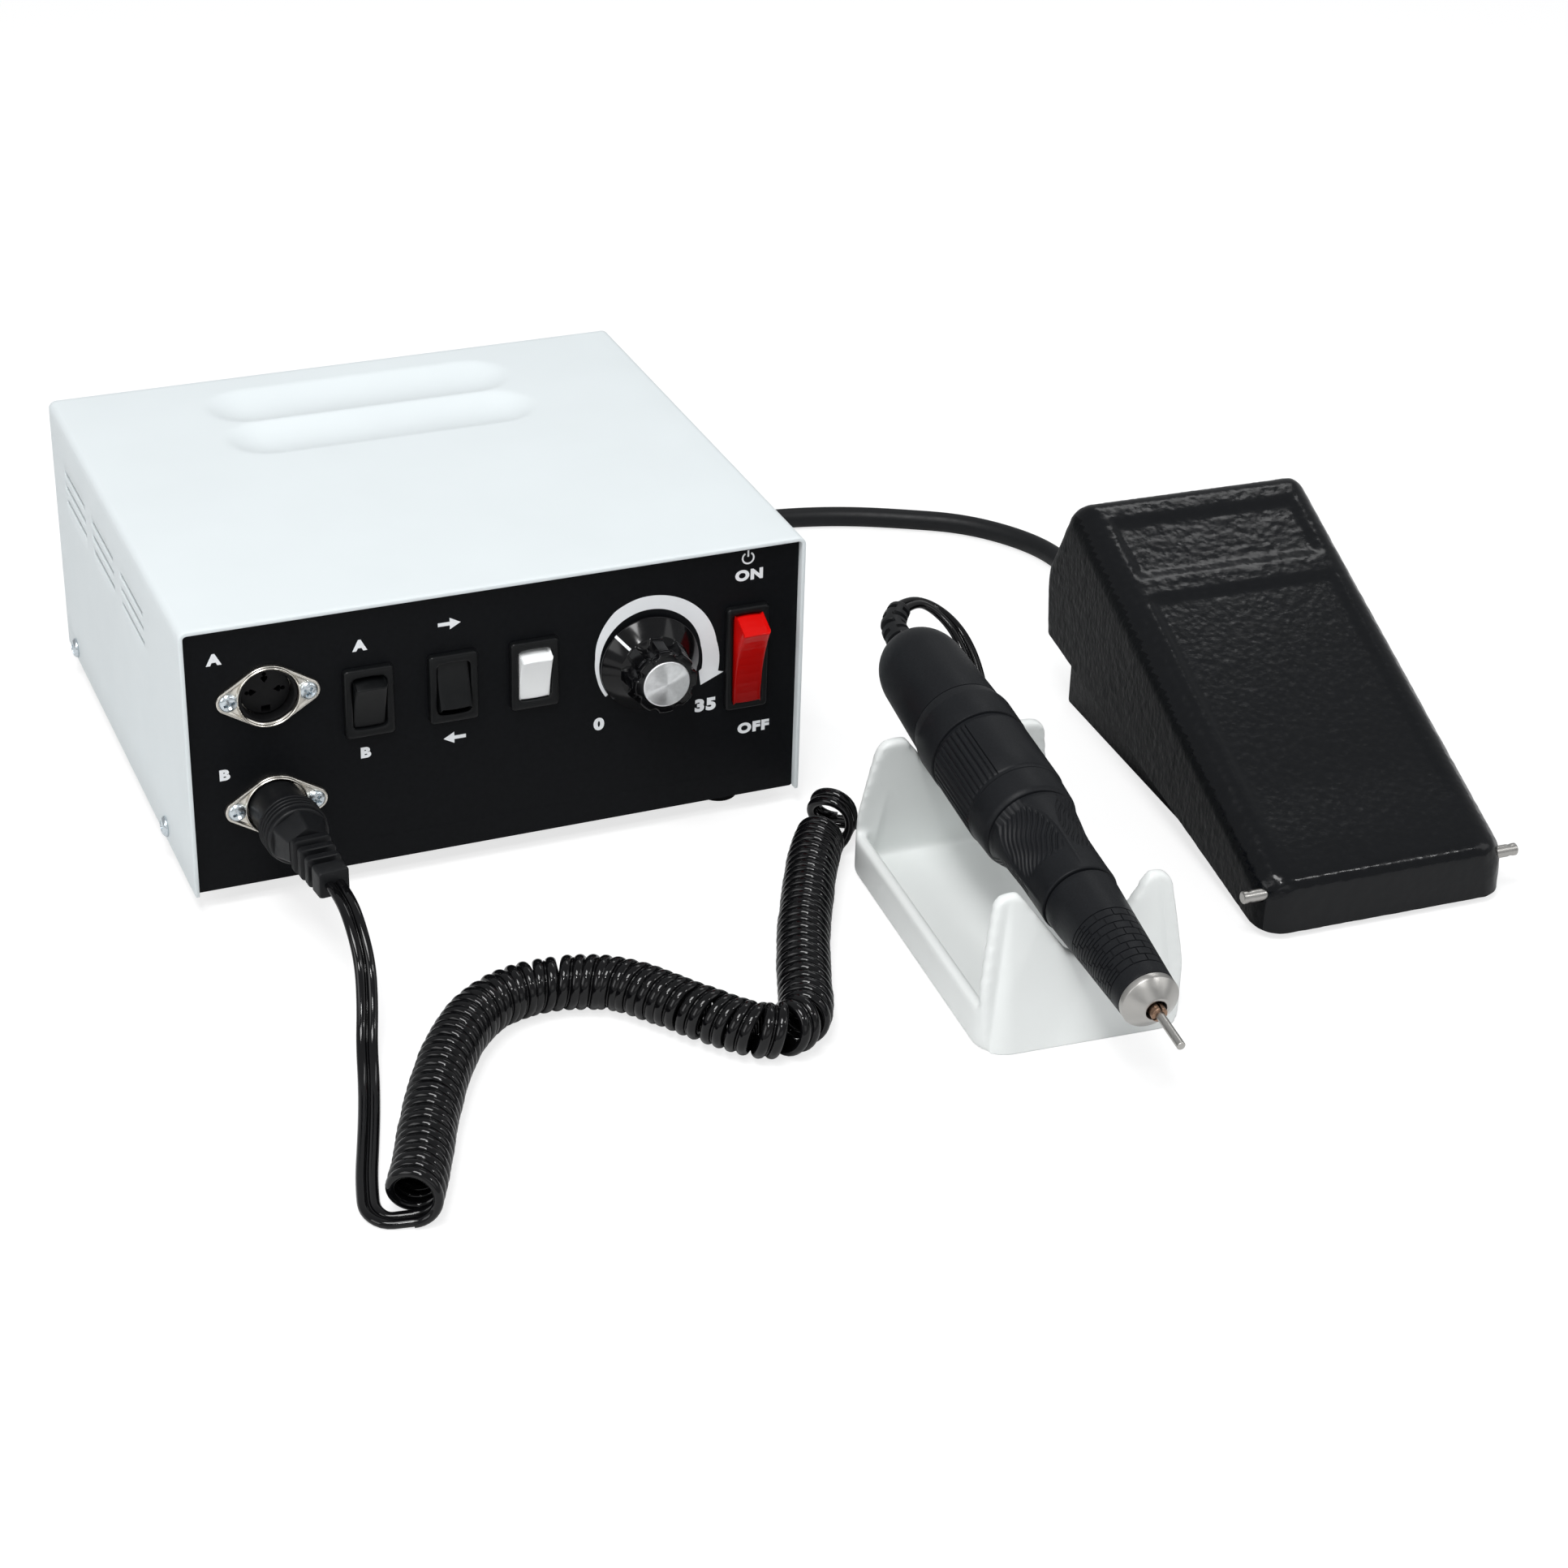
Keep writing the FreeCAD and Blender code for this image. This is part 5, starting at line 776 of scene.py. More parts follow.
def make_panel_border():
    """Square corners of the front panel, level with its face."""
    edge, height = 1.25, 80.8
    loops = []
    for out, inset in ((0.0, edge), (0.02, edge), (0.02, 9.0), (0.0, 9.0)):
        loops.append(bowed_loop(out, (unit_width - 2 * inset, height - 2 * (inset - edge)), 0.6))
    piece = skin("panel_border", panel_place(unit_width / 2, 46.4), loops, joined=True)
    dress(piece, "set", "panel_print", sharp=30)


def make_feet():
    for k, (x, y) in enumerate(((161.5, 15.2), (19.5, 18.5), (19.5, 146.5), (161.5, 146.5))):
        place = axes_place(unit_point(x, y, 0), UP, RIGHT, BACK)
        profile = soften([(0, 0), (0, 5.6), (4.4, 6.3), (6.0, 6.3), (6.0, 0)], 0.9)
        foot = dress(lathe(f"unit_foot_{k}", place, profile, 48), "set", "rubber_black", sharp=40)
        if k == 0:
            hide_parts("feet")


def make_side_screws():
    for side, x, out in (("left", 0, -RIGHT), ("right", unit_width, RIGHT)):
        for k, (y, z) in enumerate(((33.5, 10.7), (152.0, 10.0))):
            place = axes_place(unit_point(x, y, z), out, UP.cross(out), UP)
            put_screw(f"cover_screw_{side}_{k}", place, 20 + 35 * k, 1.05)


def make_socket(name, node, x, z):
    """Nickel flange with a raised rim along its edge, a raised ring and a barrel."""
    screw_reach = 11.1

    def band(inset, out):
        ear = 3.4 - inset
        return round_hull([(-screw_reach, 0, ear), (0, 0, 9.3 - inset), (screw_reach, 0, ear)], out)

    def circle(radius, out):
        return round_hull([(0, 0, radius)], out)

    rim = ((0.15, 0.02), (0.0, 0.2), (0.0, 1.2), (0.12, 1.42), (0.35, 1.5), (0.75, 1.5), (0.95, 1.42))
    valley = ((1.1, 1.2), (1.3, 1.12))
    ring = ((9.25, 1.12), (9.12, 1.2), (9.05, 1.5), (8.95, 1.95), (8.75, 2.1), (8.5, 1.95), (8.4, 1.6))
    barrel = ((8.35, -3.7), (7.1, -3.72), (7.1, -13.9))
    loops = [circle(8.6, -13.9), circle(8.6, 0.02)]
    loops += [band(*step) for step in rim + valley] + [circle(*step) for step in ring + barrel]
    piece = skin(name, panel_place(x, z), loops, joined=True)
    dress(piece, "set", "nickel", [node], sharp=45)
    for k, side in enumerate((-1, 1)):
        place = panel_place(x + side * screw_reach, z, panel_face - 1.1)
        put_screw(f"{name}_screw_{k}", place, 15 + 40 * k, 0.92)


def make_insulator(name, node, x, z):
    """Black barrel lining and disc with three keyhole contacts and a key slot below."""
    front = -2.6
    ends = (front - 3, front + 1)
    profile = [(-8.7, 0), (-8.7, 7.05), (front, 7.05), (front, 0)]
    disc = lathe(name, None, soften(profile, 0.25), 64)
    for angle in (90, 0, 180):
        for circles in (
            [(5.0, 0, 0.62)],
            [(5.0, 0, 0.26), (3.0, 0, 0.26)],
            [(3.9, -0.55, 0.42), (3.9, 0.55, 0.42), (2.5, 0, 0.12)],
        ):
            cut_away(disc, skin("cut", turned(angle), [round_hull(circles, at, 32) for at in ends]))
    key = skin("cut", None, [bowed_loop(at, (2.6, 1.9), 0.25) for at in ends])
    key.data.transform(Matrix.Translation((0, 0, -5.5)))
    cut_away(disc, key)
    disc.data.transform(panel_place(x, z))
    dress(disc, "set", "insulator_black", [node], sharp=40)
    lining = [(-3.6, 7.3), (0.3, 7.3), (0.6, 7.45), (0.6, 8.2), (0.4, 8.3), (-3.6, 8.3)]
    piece = lathe(name + "_lining", panel_place(x, z), lining, 64, joined=True)
    dress(piece, "set", "insulator_black", sharp=30)


def make_plug():
    """Moulded plug: smooth nose, ringed grip, six-sided taper, slotted strain relief and an end block."""
    profile = [(-6.0, 0), (-6.0, 6.9), (-5.6, 7.2), (-4.0, 7.3), (-3.4, 7.8), (8.0, 8.0), (8.3, 8.3)]
    for k in range(4):
        start = 8.4 + 1.6 * k
        profile += [(start, 8.2), (start + 0.25, 9.1), (start + 0.95, 9.1), (start + 1.2, 8.2)]
    profile += [(14.8, 8.7), (16.0, 8.6), (16.4, 8.2), (16.4, 0)]
    grip = lathe("plug_moulding", plug_place, soften(profile, 0.25, 3), 96)
    loops = []
    stations = ((15.2, 15.0, 1.5), (17.0, 14.6, 1.5), (22.6, 11.0, 1.2), (23.2, 10.6, 1.0), (23.4, 9.0, 1.0))
    for at, flats, edge in stations:
        corner = flats / math.sqrt(3) - edge / math.cos(math.pi / 6)
        circles = [(y, z, edge) for y, z in arc((0, 0), corner, 30, 330, 5)]
        loops.append(round_hull(circles, at, 72))
    taper = skin("plug_taper", plug_place, loops)
    loops = []
    rib = ((0, 0.52), (1.7, 0.52), (1.8, 0.94), (2.05, 1.0), (4.15, 1.0), (4.4, 0.94), (4.5, 0.52))
    for k in range(3):
        start = 22.6 + 4.7 * k
        wide = 10.8 - 0.6 * k
        for at, share in rib:
            loops.append(bowed_loop(start + at, (wide * share, (wide - 0.9) * share), 1.3 * share))
    block = ((36.8, 5.0), (38.4, 5.0), (38.5, 8.4), (38.8, 8.9), (43.2, 8.7), (43.8, 8.2), (plug_length, 7.0))
    for at, wide in block:
        loops.append(bowed_loop(at, (wide, wide - 0.8), 0.9))
    relief = skin("plug_relief", plug_place, loops)
    for piece in (grip, taper, relief):
        dress(piece, "set", "moulded_black", sharp=38)
    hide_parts("plug")


def make_bezel(name, node, x, z, size, window, depth):
    """Switch body behind the panel, soft-edged bezel and bowed window."""
    body = (size[0] - 2.2, size[1] - 2.2)
    bow = 0.35
    loops = [bowed_loop(-depth, body, 0.3), bowed_loop(0.0, body, 0.3), bowed_loop(0.0, size, 1.2)]
    for out, inset in ((0.35, 0.0), (1.35, 0.05), (1.75, 0.2), (1.95, 0.5), (2.0, 0.85)):
        loops.append(bowed_loop(out, (size[0] - 2 * inset, size[1] - 2 * inset), 1.2 - inset * 0.5))
    for out, grow in ((2.0, 0.55), (1.95, 0.25), (1.8, 0.06), (1.5, 0.0), (-2.0, 0.0), (-6.0, 0.0)):
        loops.append(bowed_loop(out, (window[0] + 2 * grow, window[1] - 2 * bow + 2 * grow), 1.3, bow))
    piece = skin(name, panel_place(x, z), loops)
    dress(piece, "set", "switch_black", [node], sharp=40)


def make_rocker(name, body, paint, x, z, window, half, edge, hollow, pivot, tilt, ribs=0):
    """Rocker with two raised edges, a hollow between them and bowed ends."""
    width = window[0] - 0.6
    back = half * 0.93
    out, high = edge
    shares = (0.9, 0.75, 0.5, 0.25, 0, -0.25, -0.5, -0.75, -0.9)
    dish = [(out - hollow * (1 - share**2), high * share) for share in shares]
    front = [(-0.2, half), (out, high), *dish, (out, -high), (-0.2, -half)]
    front = soften(front, [0, 0.5] + [0] * 9 + [0.5, 0], 5)
    if ribs:
        front = refine(front, 0.15)
    outline = front + [(-2.6, -back), (-3.0, 0), (-2.6, back)]
    loops = []
    insets = {1: 0.34, 0.985: 0.14, 0.94: 0.03}
    clips = {1: 1.2, 0.985: 0.85, 0.94: 0.4, 0.86: 0.1}
    for share in (-1, -0.985, -0.94, -0.86, -0.7, -0.4, 0, 0.4, 0.7, 0.86, 0.94, 0.985, 1):
        inset = insets.get(abs(share), 0.0)
        loop = []
        for depth, height in outline:
            bow = 0.32 * (1 - share**2) * min(1.0, abs(height) / half)
            level = depth - inset if depth > 0 else depth
            if ribs and high * 1.02 < height and depth > 1 and abs(share) < 0.9:
                level += 0.05 * math.sin(2 * math.pi * height * ribs)
            bow -= clips.get(abs(share), 0.0)
            tall = height + math.copysign(bow, height) if abs(height) > 0.6 * high else height
            loop.append((level, share * width / 2, tall * (1 - inset / half)))
        loops.append(loop)
    piece = skin(name, panel_place(x, z, panel_face + pivot) @ turned(tilt, "Y"), loops)
    dress(piece, body, paint, [body], sharp=30)


def make_switches():
    places = {"output": (51.9, 57.7), "direction": (76.1, 57.9), "control": (99.8, 57.9)}
    window = (9.8, 16.2)
    for name, (x, z) in places.items():
        make_bezel(name + "_bezel", name + "_switch", x, z, (14.2, 21.1), window, 16.0)
        paint = "switch_white" if name == "control" else "switch_black"
        tilt = -14 if name == "direction" else 14
        make_rocker(name + "_key", name + "_rocker", paint, x, z, window, 7.5, (5.3, 6.5), 0.6, 2.6, tilt)
    x, z = 163.95, 52.0
    window = (9.0, 28.7)
    make_bezel("power_bezel", "power_switch", x, z, (12.9, 32.7), window, 24.0)
    make_rocker("power_key", "power_rocker", "lens_red", x, z, window, 14.0, (6.7, 12.5), 1.9, 0.7, 14, ribs=2)


def bar_faces(sections):
    """Faces of a bar through sections of two edges, each an outer and an inner point."""
    faces = []
    for a in range(0, 4 * (sections - 1), 4):
        b = a + 4
        faces += [(a, a + 2, b + 2, b), (a + 1, b + 1, b + 3, a + 3)]
        faces += [(a, b, b + 1, a + 1), (a + 2, a + 3, b + 3, b + 2)]
    last = 4 * (sections - 1)
    return faces + [(0, 1, 3, 2), (last, last + 2, last + 3, last + 1)]


def make_knob():
    """Skirted knob with eight flutes, a spun cap and a white line down its skirt."""
    place = panel_place(*knob_spot)
    skirt = [(0.3, 0), (0.3, 14.6), (0.45, 14.75), (1.3, 14.75), (1.55, 14.6)]
    wall = [(4.9, 10.5), (5.2, 10.25), (11.9, 9.45), (12.15, 9.55)]
    top = [(13.9, 9.3), (14.15, 9.05), (14.2, 8.7)]
    profile = refine(skirt, 3) + refine(wall, 0.35) + refine(top, 0.3)
    profile += [(14.2, 7.05), (13.4, 7.02), (13.4, 0)]
    flutes = 8

    def fluted(along, radius, angle):
        away = np.abs((angle * flutes / (2 * np.pi)) % 1 - 0.5) * 2 * np.pi / flutes
        pocket = clamp(1 - (away / 0.23) ** 2) ** 0.6
        scallop = clamp(1 - (away / 0.17) ** 2)
        in_wall = clamp((along - 5.1) / 0.6) * clamp((12.1 - along) / 0.45)
        in_flange = ((along > 11.9) & (radius > 7.5)) * 1.0
        return radius - 2.1 * pocket * in_wall - 1.0 * scallop * in_flange

    body = lathe("knob_moulding", place, profile, 256, fluted)
    dress(body, "knob", "knob_black", ["knob_body"], sharp=40)
    cap = [(13.45, 0), (13.45, 6.98), (14.3, 6.98), (14.55, 6.8), (14.6, 6.5), (14.6, 0)]
    dress(lathe("knob_disc", place, cap, 96), "knob", "spun_aluminium", ["knob_cap"], sharp=50)
    half, proud, deep = 0.42, 0.02, 0.25
    points = []
    for out, radius in ((0.9, 14.8), (1.33, 14.8), (1.6, 14.62), (4.9, 10.56)):
        for side in (-half, half):
            points += [(out + proud, radius, side), (out - deep, radius - deep, side)]
    piece = mesh_object("knob_pointer", points, bar_faces(4), place @ turned(135))
    dress(piece, "knob", "print_white", sharp=30)


# Print on the panel


def text_mark(name, words, x, z, height):
    """Flat printed sign of a height, centred on a place of the panel."""
    text_width = 1.18
    curve = bpy.data.curves.new(name, "FONT")
    curve.body = words
    curve.size = 1.0
    curve.offset = 0.06
    curve.space_character = 1.16
    curve.resolution_u = 6
    curve.extrude = 0.02
    holder = new_object(name + "_text", curve)
    mesh = bpy.data.meshes.new_from_object(holder)
    bpy.data.objects.remove(holder)
    points = np.array([vertex.co for vertex in mesh.vertices])
    low, high = points.min(0), points.max(0)
    scale = height / (high[1] - low[1])
    middle = (low + high) / 2
    flat = axes_place(unit_point(x, panel_face - 0.03, z), RIGHT, UP, -BACK)
    size = Matrix.Diagonal((scale * text_width, scale, 1, 1))
    mesh.transform(flat @ size @ Matrix.Translation((-middle[0], -middle[1], 0)))
    dress(new_object(name, mesh), "set", "print_white", sharp=30)


def flat_mark(name, strip, x, z):
    """Printed shape from pairs of outer and inner points about a place of the panel."""
    points = []
    for pair in strip:
        for y, height in pair:
            points += [(0.05, y, height), (0.0, y, height)]
    piece = mesh_object(name, points, bar_faces(len(strip)), panel_place(x, z))
    dress(piece, "set", "print_white", sharp=30)


def make_print():
    for name, words, x, z, height in (
        ("print_a_left", "A", 9.7, 77.5, 3.5),
        ("print_b_left", "B", 10.8, 41.8, 3.4),
        ("print_a_switch", "A", 50.1, 74.9, 3.4),
        ("print_b_switch", "B", 50.7, 41.4, 3.4),
        ("print_zero", "0", 119.3, 37.7, 4.0),
        ("print_top_speed", "35", 151.9, 38.1, 4.2),
        ("print_on", "ON", 164.6, 77.7, 3.5),
        ("print_off", "OFF", 167.1, 28.1, 3.5),
    ):
        text_mark(name, words, x, z, height)
    for name, x, z, side in (("print_forward", 75.6, 77.2, 1), ("print_reverse", 76.5, 41.4, -1)):
        for part, ends in (("", ((-3.2, 0.55), (0.2, 0.55))), ("_tip", ((0.2, 1.75), (3.3, 0.02)))):
            flat_mark(name + part, [((at * side, half), (at * side, -half)) for at, half in ends], x, z)
    power_x, power_z = 164.2, 83.0
    ring = list(zip(*(arc((0, 0), radius, 90 + 32, 450 - 32, 30) for radius in (1.95, 1.45))))
    flat_mark("print_power_ring", ring, power_x, power_z)
    flat_mark("print_power_bar", [((0.26, 2.4), (-0.26, 2.4)), ((0.26, 0.4), (-0.26, 0.4))], power_x, power_z)
    speed_arc = (
        (214, 15.8, 14.9), (190, 15.9, 14.9), (167, 16.6, 15.1), (142, 18.6, 15.8),
        (120, 20.4, 16.4), (98, 20.9, 16.7), (75, 20.9, 16.7), (40, 21.0, 16.4),
        (9, 20.9, 16.0), (-4, 21.6, 16.4), (-17, 22.2, 16.9),
    )
    turns, outer, inner = np.array(speed_arc[::-1]).T
    strip = []
    for turn in np.linspace(turns[-1], turns[0], 90):
        c, s = math.cos(math.radians(turn)), math.sin(math.radians(turn))
        radii = (np.interp(turn, turns, edge) for edge in (outer, inner))
        strip.append(tuple((radius * c, radius * s) for radius in radii))
    arrow_tip = [((22.9, -7.1), (15.3, -5.6)), ((15.95, -10.2), (15.9, -10.2))]
    flat_mark("print_arrow", strip + arrow_tip, *knob_spot)


# Handpiece


def make_sleeve_relief():
    """Bent strain relief whose ribs are joined by bridges on two sides."""
    points = [hand_place @ Vector((1.0, 0, 0))] + unit_points(relief_points)
    line = spaced(smooth_route(points, 16), 0.25 * MM)
    at = run_lengths(line) / MM
    heading = headings(line)
    side = level_across(line)
    above = np.cross(side, heading)
    angle = np.linspace(0, 2 * np.pi, 72, endpoint=False)
    first, pitch, slots, slot_depth, slot_half, bridge_half = 3.2, 3.6, 5, 1.15, 0.85, 17
    row = np.clip(np.floor((at - first) / pitch), 0, slots - 1)
    from_slot = np.abs(at - first - pitch * (row + 0.5))
    depth = clamp((slot_half - from_slot) / 0.25)[:, None]
    middle = np.where(row % 2 == 0, 75.0, 115.0)[:, None]
    from_bridge = np.abs((np.degrees(angle)[None, :] - middle + 90) % 180 - 90)
    bridge = clamp((from_bridge - bridge_half) / 5)
    radius = np.interp(at, [0, 2, at[-1] - 0.5, at[-1]], [4.6, 4.3, 3.25, 2.9])[:, None]
    reach = (radius - slot_depth * depth * bridge) * MM
    rings = line[:, None, :] + side[:, None, :] * (reach * np.cos(angle) * 1.06)[:, :, None]
    rings = rings + above[:, None, :] * (reach * np.sin(angle) * 0.94)[:, :, None]
    piece = skin("handpiece_sleeve_relief", None, rings)
    dress(piece, "handpiece", "moulded_black", ["handpiece_relief"], sharp=35)


def grip_part(name, node, profile, around=96, shape=None, sharp=40):
    """Turned piece of the black body; a profile that starts off the axis closes on itself."""
    piece = lathe(name, hand_place, profile, around, shape, joined=profile[0][1] > 0)
    dress(piece, "handpiece", "grip_black", [node], sharp=sharp)


def make_handpiece():
    make_sleeve_relief()
    cap = [(0.0, 0), (0.0, 4.4), (0.15, 4.7)]
    turns = [math.radians(90 * k / 16) for k in range(1, 17)]
    cap += [(14.0 * (1 - math.cos(turn)), 4.7 + 8.2 * math.sin(turn)) for turn in turns]
    cap += [(25, 13.28), (38.9, 13.78), (39.25, 13.7), (39.4, 13.4), (39.4, 10.3), (14.5, 10.3), (14.5, 0)]
    grip_part("handpiece_cap", "rear_cap", cap)

    collar = [(39.5, 10.3), (39.5, 13.3), (39.75, 13.8), (43.3, 14.6), (44.2, 14.7), (53.9, 14.58)]
    collar += [(54.25, 14.45), (54.4, 14.1), (54.4, 7.0), (52, 7.0), (52, 5.4), (47, 5.4), (47, 4.5)]
    grip_part("handpiece_rear_ring", "rear_collar", collar + [(41.5, 4.5), (41.5, 10.3)])

    ribs_from, ribs_to, rib_count = math.radians(118), math.radians(205), 12

    def ribbed(along, radius, angle):
        share = (angle - ribs_from) / (ribs_to - ribs_from)
        inside = (share > 0) & (share < 1)
        wave = 0.5 - 0.5 * np.cos(2 * np.pi * share * rib_count)
        ends = clamp((along - 55.8) / 0.5) * clamp((79.8 - along) / 0.5)
        low = 0.05 + 0.42 * clamp(wave * 1.5)
        return radius + np.where(radius > 13, ends * np.where(inside, low - 0.12, 0.33), 0)

    body = [(54.5, 13.7), (54.65, 14.0)]
    body += [(at, 14.05) for at in (55.6, 56.05, 56.3, 56.55, 62, 70, 79.25, 79.5, 79.75, 80.0)]
    body += [(80.7, 14.0), (80.9, 13.7), (80.9, 7.0), (54.5, 7.0)]
    grip_part("handpiece_motor", "motor_body", body, 720, ribbed, sharp=30)

    ring = [(81.0, 7.0), (81.0, 13.8), (81.2, 14.05), (88.9, 13.65), (89.4, 13.5), (90.4, 13.1), (90.6, 12.8)]
    grip_part("handpiece_middle_ring", "mid_collar", ring + [(90.6, 9.02), (83.6, 9.02), (83.6, 7.0)])
    make_sleeve()
    make_grip()
    make_nose()


def make_sleeve():
    """Twist sleeve with four finger scoops, each filled with fine lengthwise waves."""
    front, rear, low, high = 122.6, 91.0, 10.75, 12.5
    profile = [(rear, 9.05), (rear, 12.6), (91.25, 12.88), (93.2, 12.52)]
    profile += [(93.2 + 0.2 * k, high - (high - low) * (0.2 * k / 29.2) ** 1.15) for k in range(1, 146)]
    profile += [(122.45, 10.7), (front, 10.4), (front, 9.05)]
    scoop_half, scoop_length, scoop_depth = 8.8, 17, 0.95
    wave_pitch, wave_depth, wave_lean = 1.9, 0.42, 0.6

    def scoops(along, radius, angle):
        result = radius + 0 * angle
        outside = (radius > 10.2) & (along > 92.0) & (along < 122.3)
        lengthwise = along - 93
        from_end = np.clip(15 - lengthwise, 0, scoop_length) / scoop_length
        arch = np.sqrt(clamp(1 - from_end**2))
        fade = clamp((28.5 - lengthwise) / 15) ** 0.8
        for middle in (45, 135, 225, 315):
            away = (angle - math.radians(middle) + np.pi) % (2 * np.pi) - np.pi
            across = away * 11.8
            bowl = clamp(1 - (across / (scoop_half * arch + 0.01)) ** 2) ** 0.36
            fine = clamp(1 - ((lengthwise - 10) / 10.5) ** 2) * clamp(2 * bowl - 0.9)
            sway = 0.3 * np.sin(lengthwise * 0.5 + across * 0.4)
            wave = np.sin(2 * np.pi * (across - wave_lean * lengthwise + sway) / wave_pitch)
            groove = wave_depth * clamp((wave + 0.1) / 0.8) * clamp(fine * 5)
            sunk = clamp(along - 92) * (scoop_depth * bowl * fade + groove)
            result = result - np.where(outside, sunk, 0)
        return result

    piece = lathe("handpiece_twist_ring", hand_place, profile, 480, scoops, joined=True)
    dress(piece, "twist_sleeve", "grip_black", ["twist_sleeve"], sharp=60)


def make_grip():
    """Front grip with finely engraved rows of staggered blocks."""
    rows, first, pitch, blocks = 8, 138.6, 2.6, 12
    half, slope, depth, mean_radius = 0.12, 0.06, 0.26, 8.8
    along = []
    for k in range(2 * rows + 1):
        middle = first + pitch * k / 2
        along += [middle - half - slope, middle - half, middle + half, middle + half + slope, middle + pitch / 4]
    stations = [123.5, 125, 128, 131, 134, 136.5, 137.8] + along + [161.5, 162.6, 163.6]

    def outer(s):
        return float(np.interp(s, [123.1, 137.8, 164.0], [10.35, 9.46, 7.95]))

    profile = [(123.1, 6.93), (123.1, 10.0), (123.25, 10.25)] + [(s, outer(s)) for s in sorted(stations)]
    profile += [(163.85, 7.9), (164.0, 7.7), (164.0, 6.93)]
    wide = 2 * math.pi / blocks
    angles = []
    for k in range(3 * blocks):
        for shift in (-half - slope, -half, half, half + slope):
            angles.append(k * wide / 3 + shift / mean_radius)
        angles.append((k + 0.5) * wide / 3)

    def engraved(s, radius, angle):
        outside = (radius > 7.2) & (s > first - half - 0.01) & (s < first + pitch * rows + half + 0.01)
        row = (s - first) / pitch
        near_line = np.abs(row - np.round(row)) * pitch < half + 0.01
        near_half = np.abs(2 * row - np.round(2 * row)) * pitch / 2 < half + 0.01
        fine = near_half & (angle > 2.45) & (angle < 3.6)
        stagger = (np.floor(row).astype(int) * 2 % 3) * wide / 3
        from_joint = np.abs((angle - stagger + wide / 2) % wide - wide / 2) * mean_radius
        joint = (from_joint < half + 0.01) & (row > 0) & (row < rows)
        return radius - np.where(outside & (near_line | fine | joint), depth, 0.0)

    angles = sorted(angles)
    piece = lathe("handpiece_front_grip", hand_place, profile, shape=engraved, joined=True, angles=angles)
    dress(piece, "handpiece", "grip_black", ["front_grip"], sharp=25)


def make_nose():
    """Steel nose cone, split collet and the mandrel's shank."""
    cone = [(164.05, 5.4), (164.05, 7.75), (164.2, 7.95), (165.9, 7.95), (166.1, 7.85), (169.3, 3.95)]
    cone += [(169.5, 3.7), (169.6, 3.4), (169.6, 3.0), (169.5, 2.9), (168.0, 2.9), (168.0, 4.2), (166.8, 5.4)]
    piece = lathe("handpiece_nose", hand_place, cone, 96, joined=True)
    dress(piece, "handpiece", "steel_bright", ["nose_cone"], sharp=30)
    tube = [(150.0, 1.2), (150.0, 2.2), (171.4, 2.2), (171.8, 1.8), (171.8, 1.2)]
    collet = lathe("tool_collet", hand_place, soften(tube, 0.1, 2, True), 48, joined=True)
    for k in range(3):
        slot = [[(x, 0, -0.3), (x, 3.2, -0.3), (x, 3.2, 0.3), (x, 0, 0.3)] for x in (158.0, 173.0)]
        cut_away(collet, skin("slot", hand_place @ turned(120 * k + 90), slot))
    dress(collet, "spindle", "collet_bronze", ["collet"], sharp=30)
    pin = [(152, 0), (152, 1.175), (183.9, 1.175), (184.1, 1.05), (184.2, 0.85), (184.2, 0)]
    dress(lathe("tool_shank", hand_place, pin, 40), "mandrel", "steel_bright", ["mandrel"], sharp=30)


# Cradle and pedal


def rounded(point, low, high, size):
    """Moves a point of a box's plan so that the box's upright corners become round."""
    away = []
    for k in (0, 1):
        ahead = point[k] - (low[k] + size)
        behind = point[k] - (high[k] - size)
        away.append(ahead if ahead < 0 else max(behind, 0))
    reach = math.hypot(*away)
    if not (away[0] and away[1]):
        return point
    return point + Vector(away) * (max(abs(away[0]), abs(away[1])) / reach - 1)


def make_cradle():
    piece = melt(cad_copy("cradle_moulding", "cradle"), cradle_place, 0.8, 5)
    corners = np.array([vertex.co for vertex in piece.data.vertices])
    low, high = corners.min(0), corners.max(0)
    for vertex in piece.data.vertices:
        vertex.co.xy = rounded(vertex.co.xy, low, high, 9.0)
    settle(modify(piece, "SMOOTH", iterations=4))
    piece.data.transform(cradle_place)
    dress(piece, "set", "cradle_white", ["cradle"], sharp=75)


def slope_place(v, z):
    """Distances up the treadle's slope and above it, from its front top edge."""
    slope = math.atan2(treadle_rear[1] - treadle_front[1], treadle_rear[0] - treadle_front[0])
    v, z = v - treadle_front[0], z - treadle_front[1]
    return v * math.cos(slope) + z * math.sin(slope), z * math.cos(slope) - v * math.sin(slope)


def soft_step(value, width):
    share = min(1.0, max(0.0, value / width))
    return share * share * (3 - 2 * share)


def plate_depth(u, up):
    """Depth of the foot plate's recess and of the pocket behind the heel bar."""
    border, edge = 5.4, 3.6
    inside = soft_step(min(u - border, pedal_width - border - u), edge)
    plate = 0.8 * soft_step(min((up - 6.5) * 0.12, 108.5 - up), edge)
    pocket = 0.7 * soft_step(min(up - 113.5, 140.0 - up), 5.0)
    return inside * max(plate, pocket)


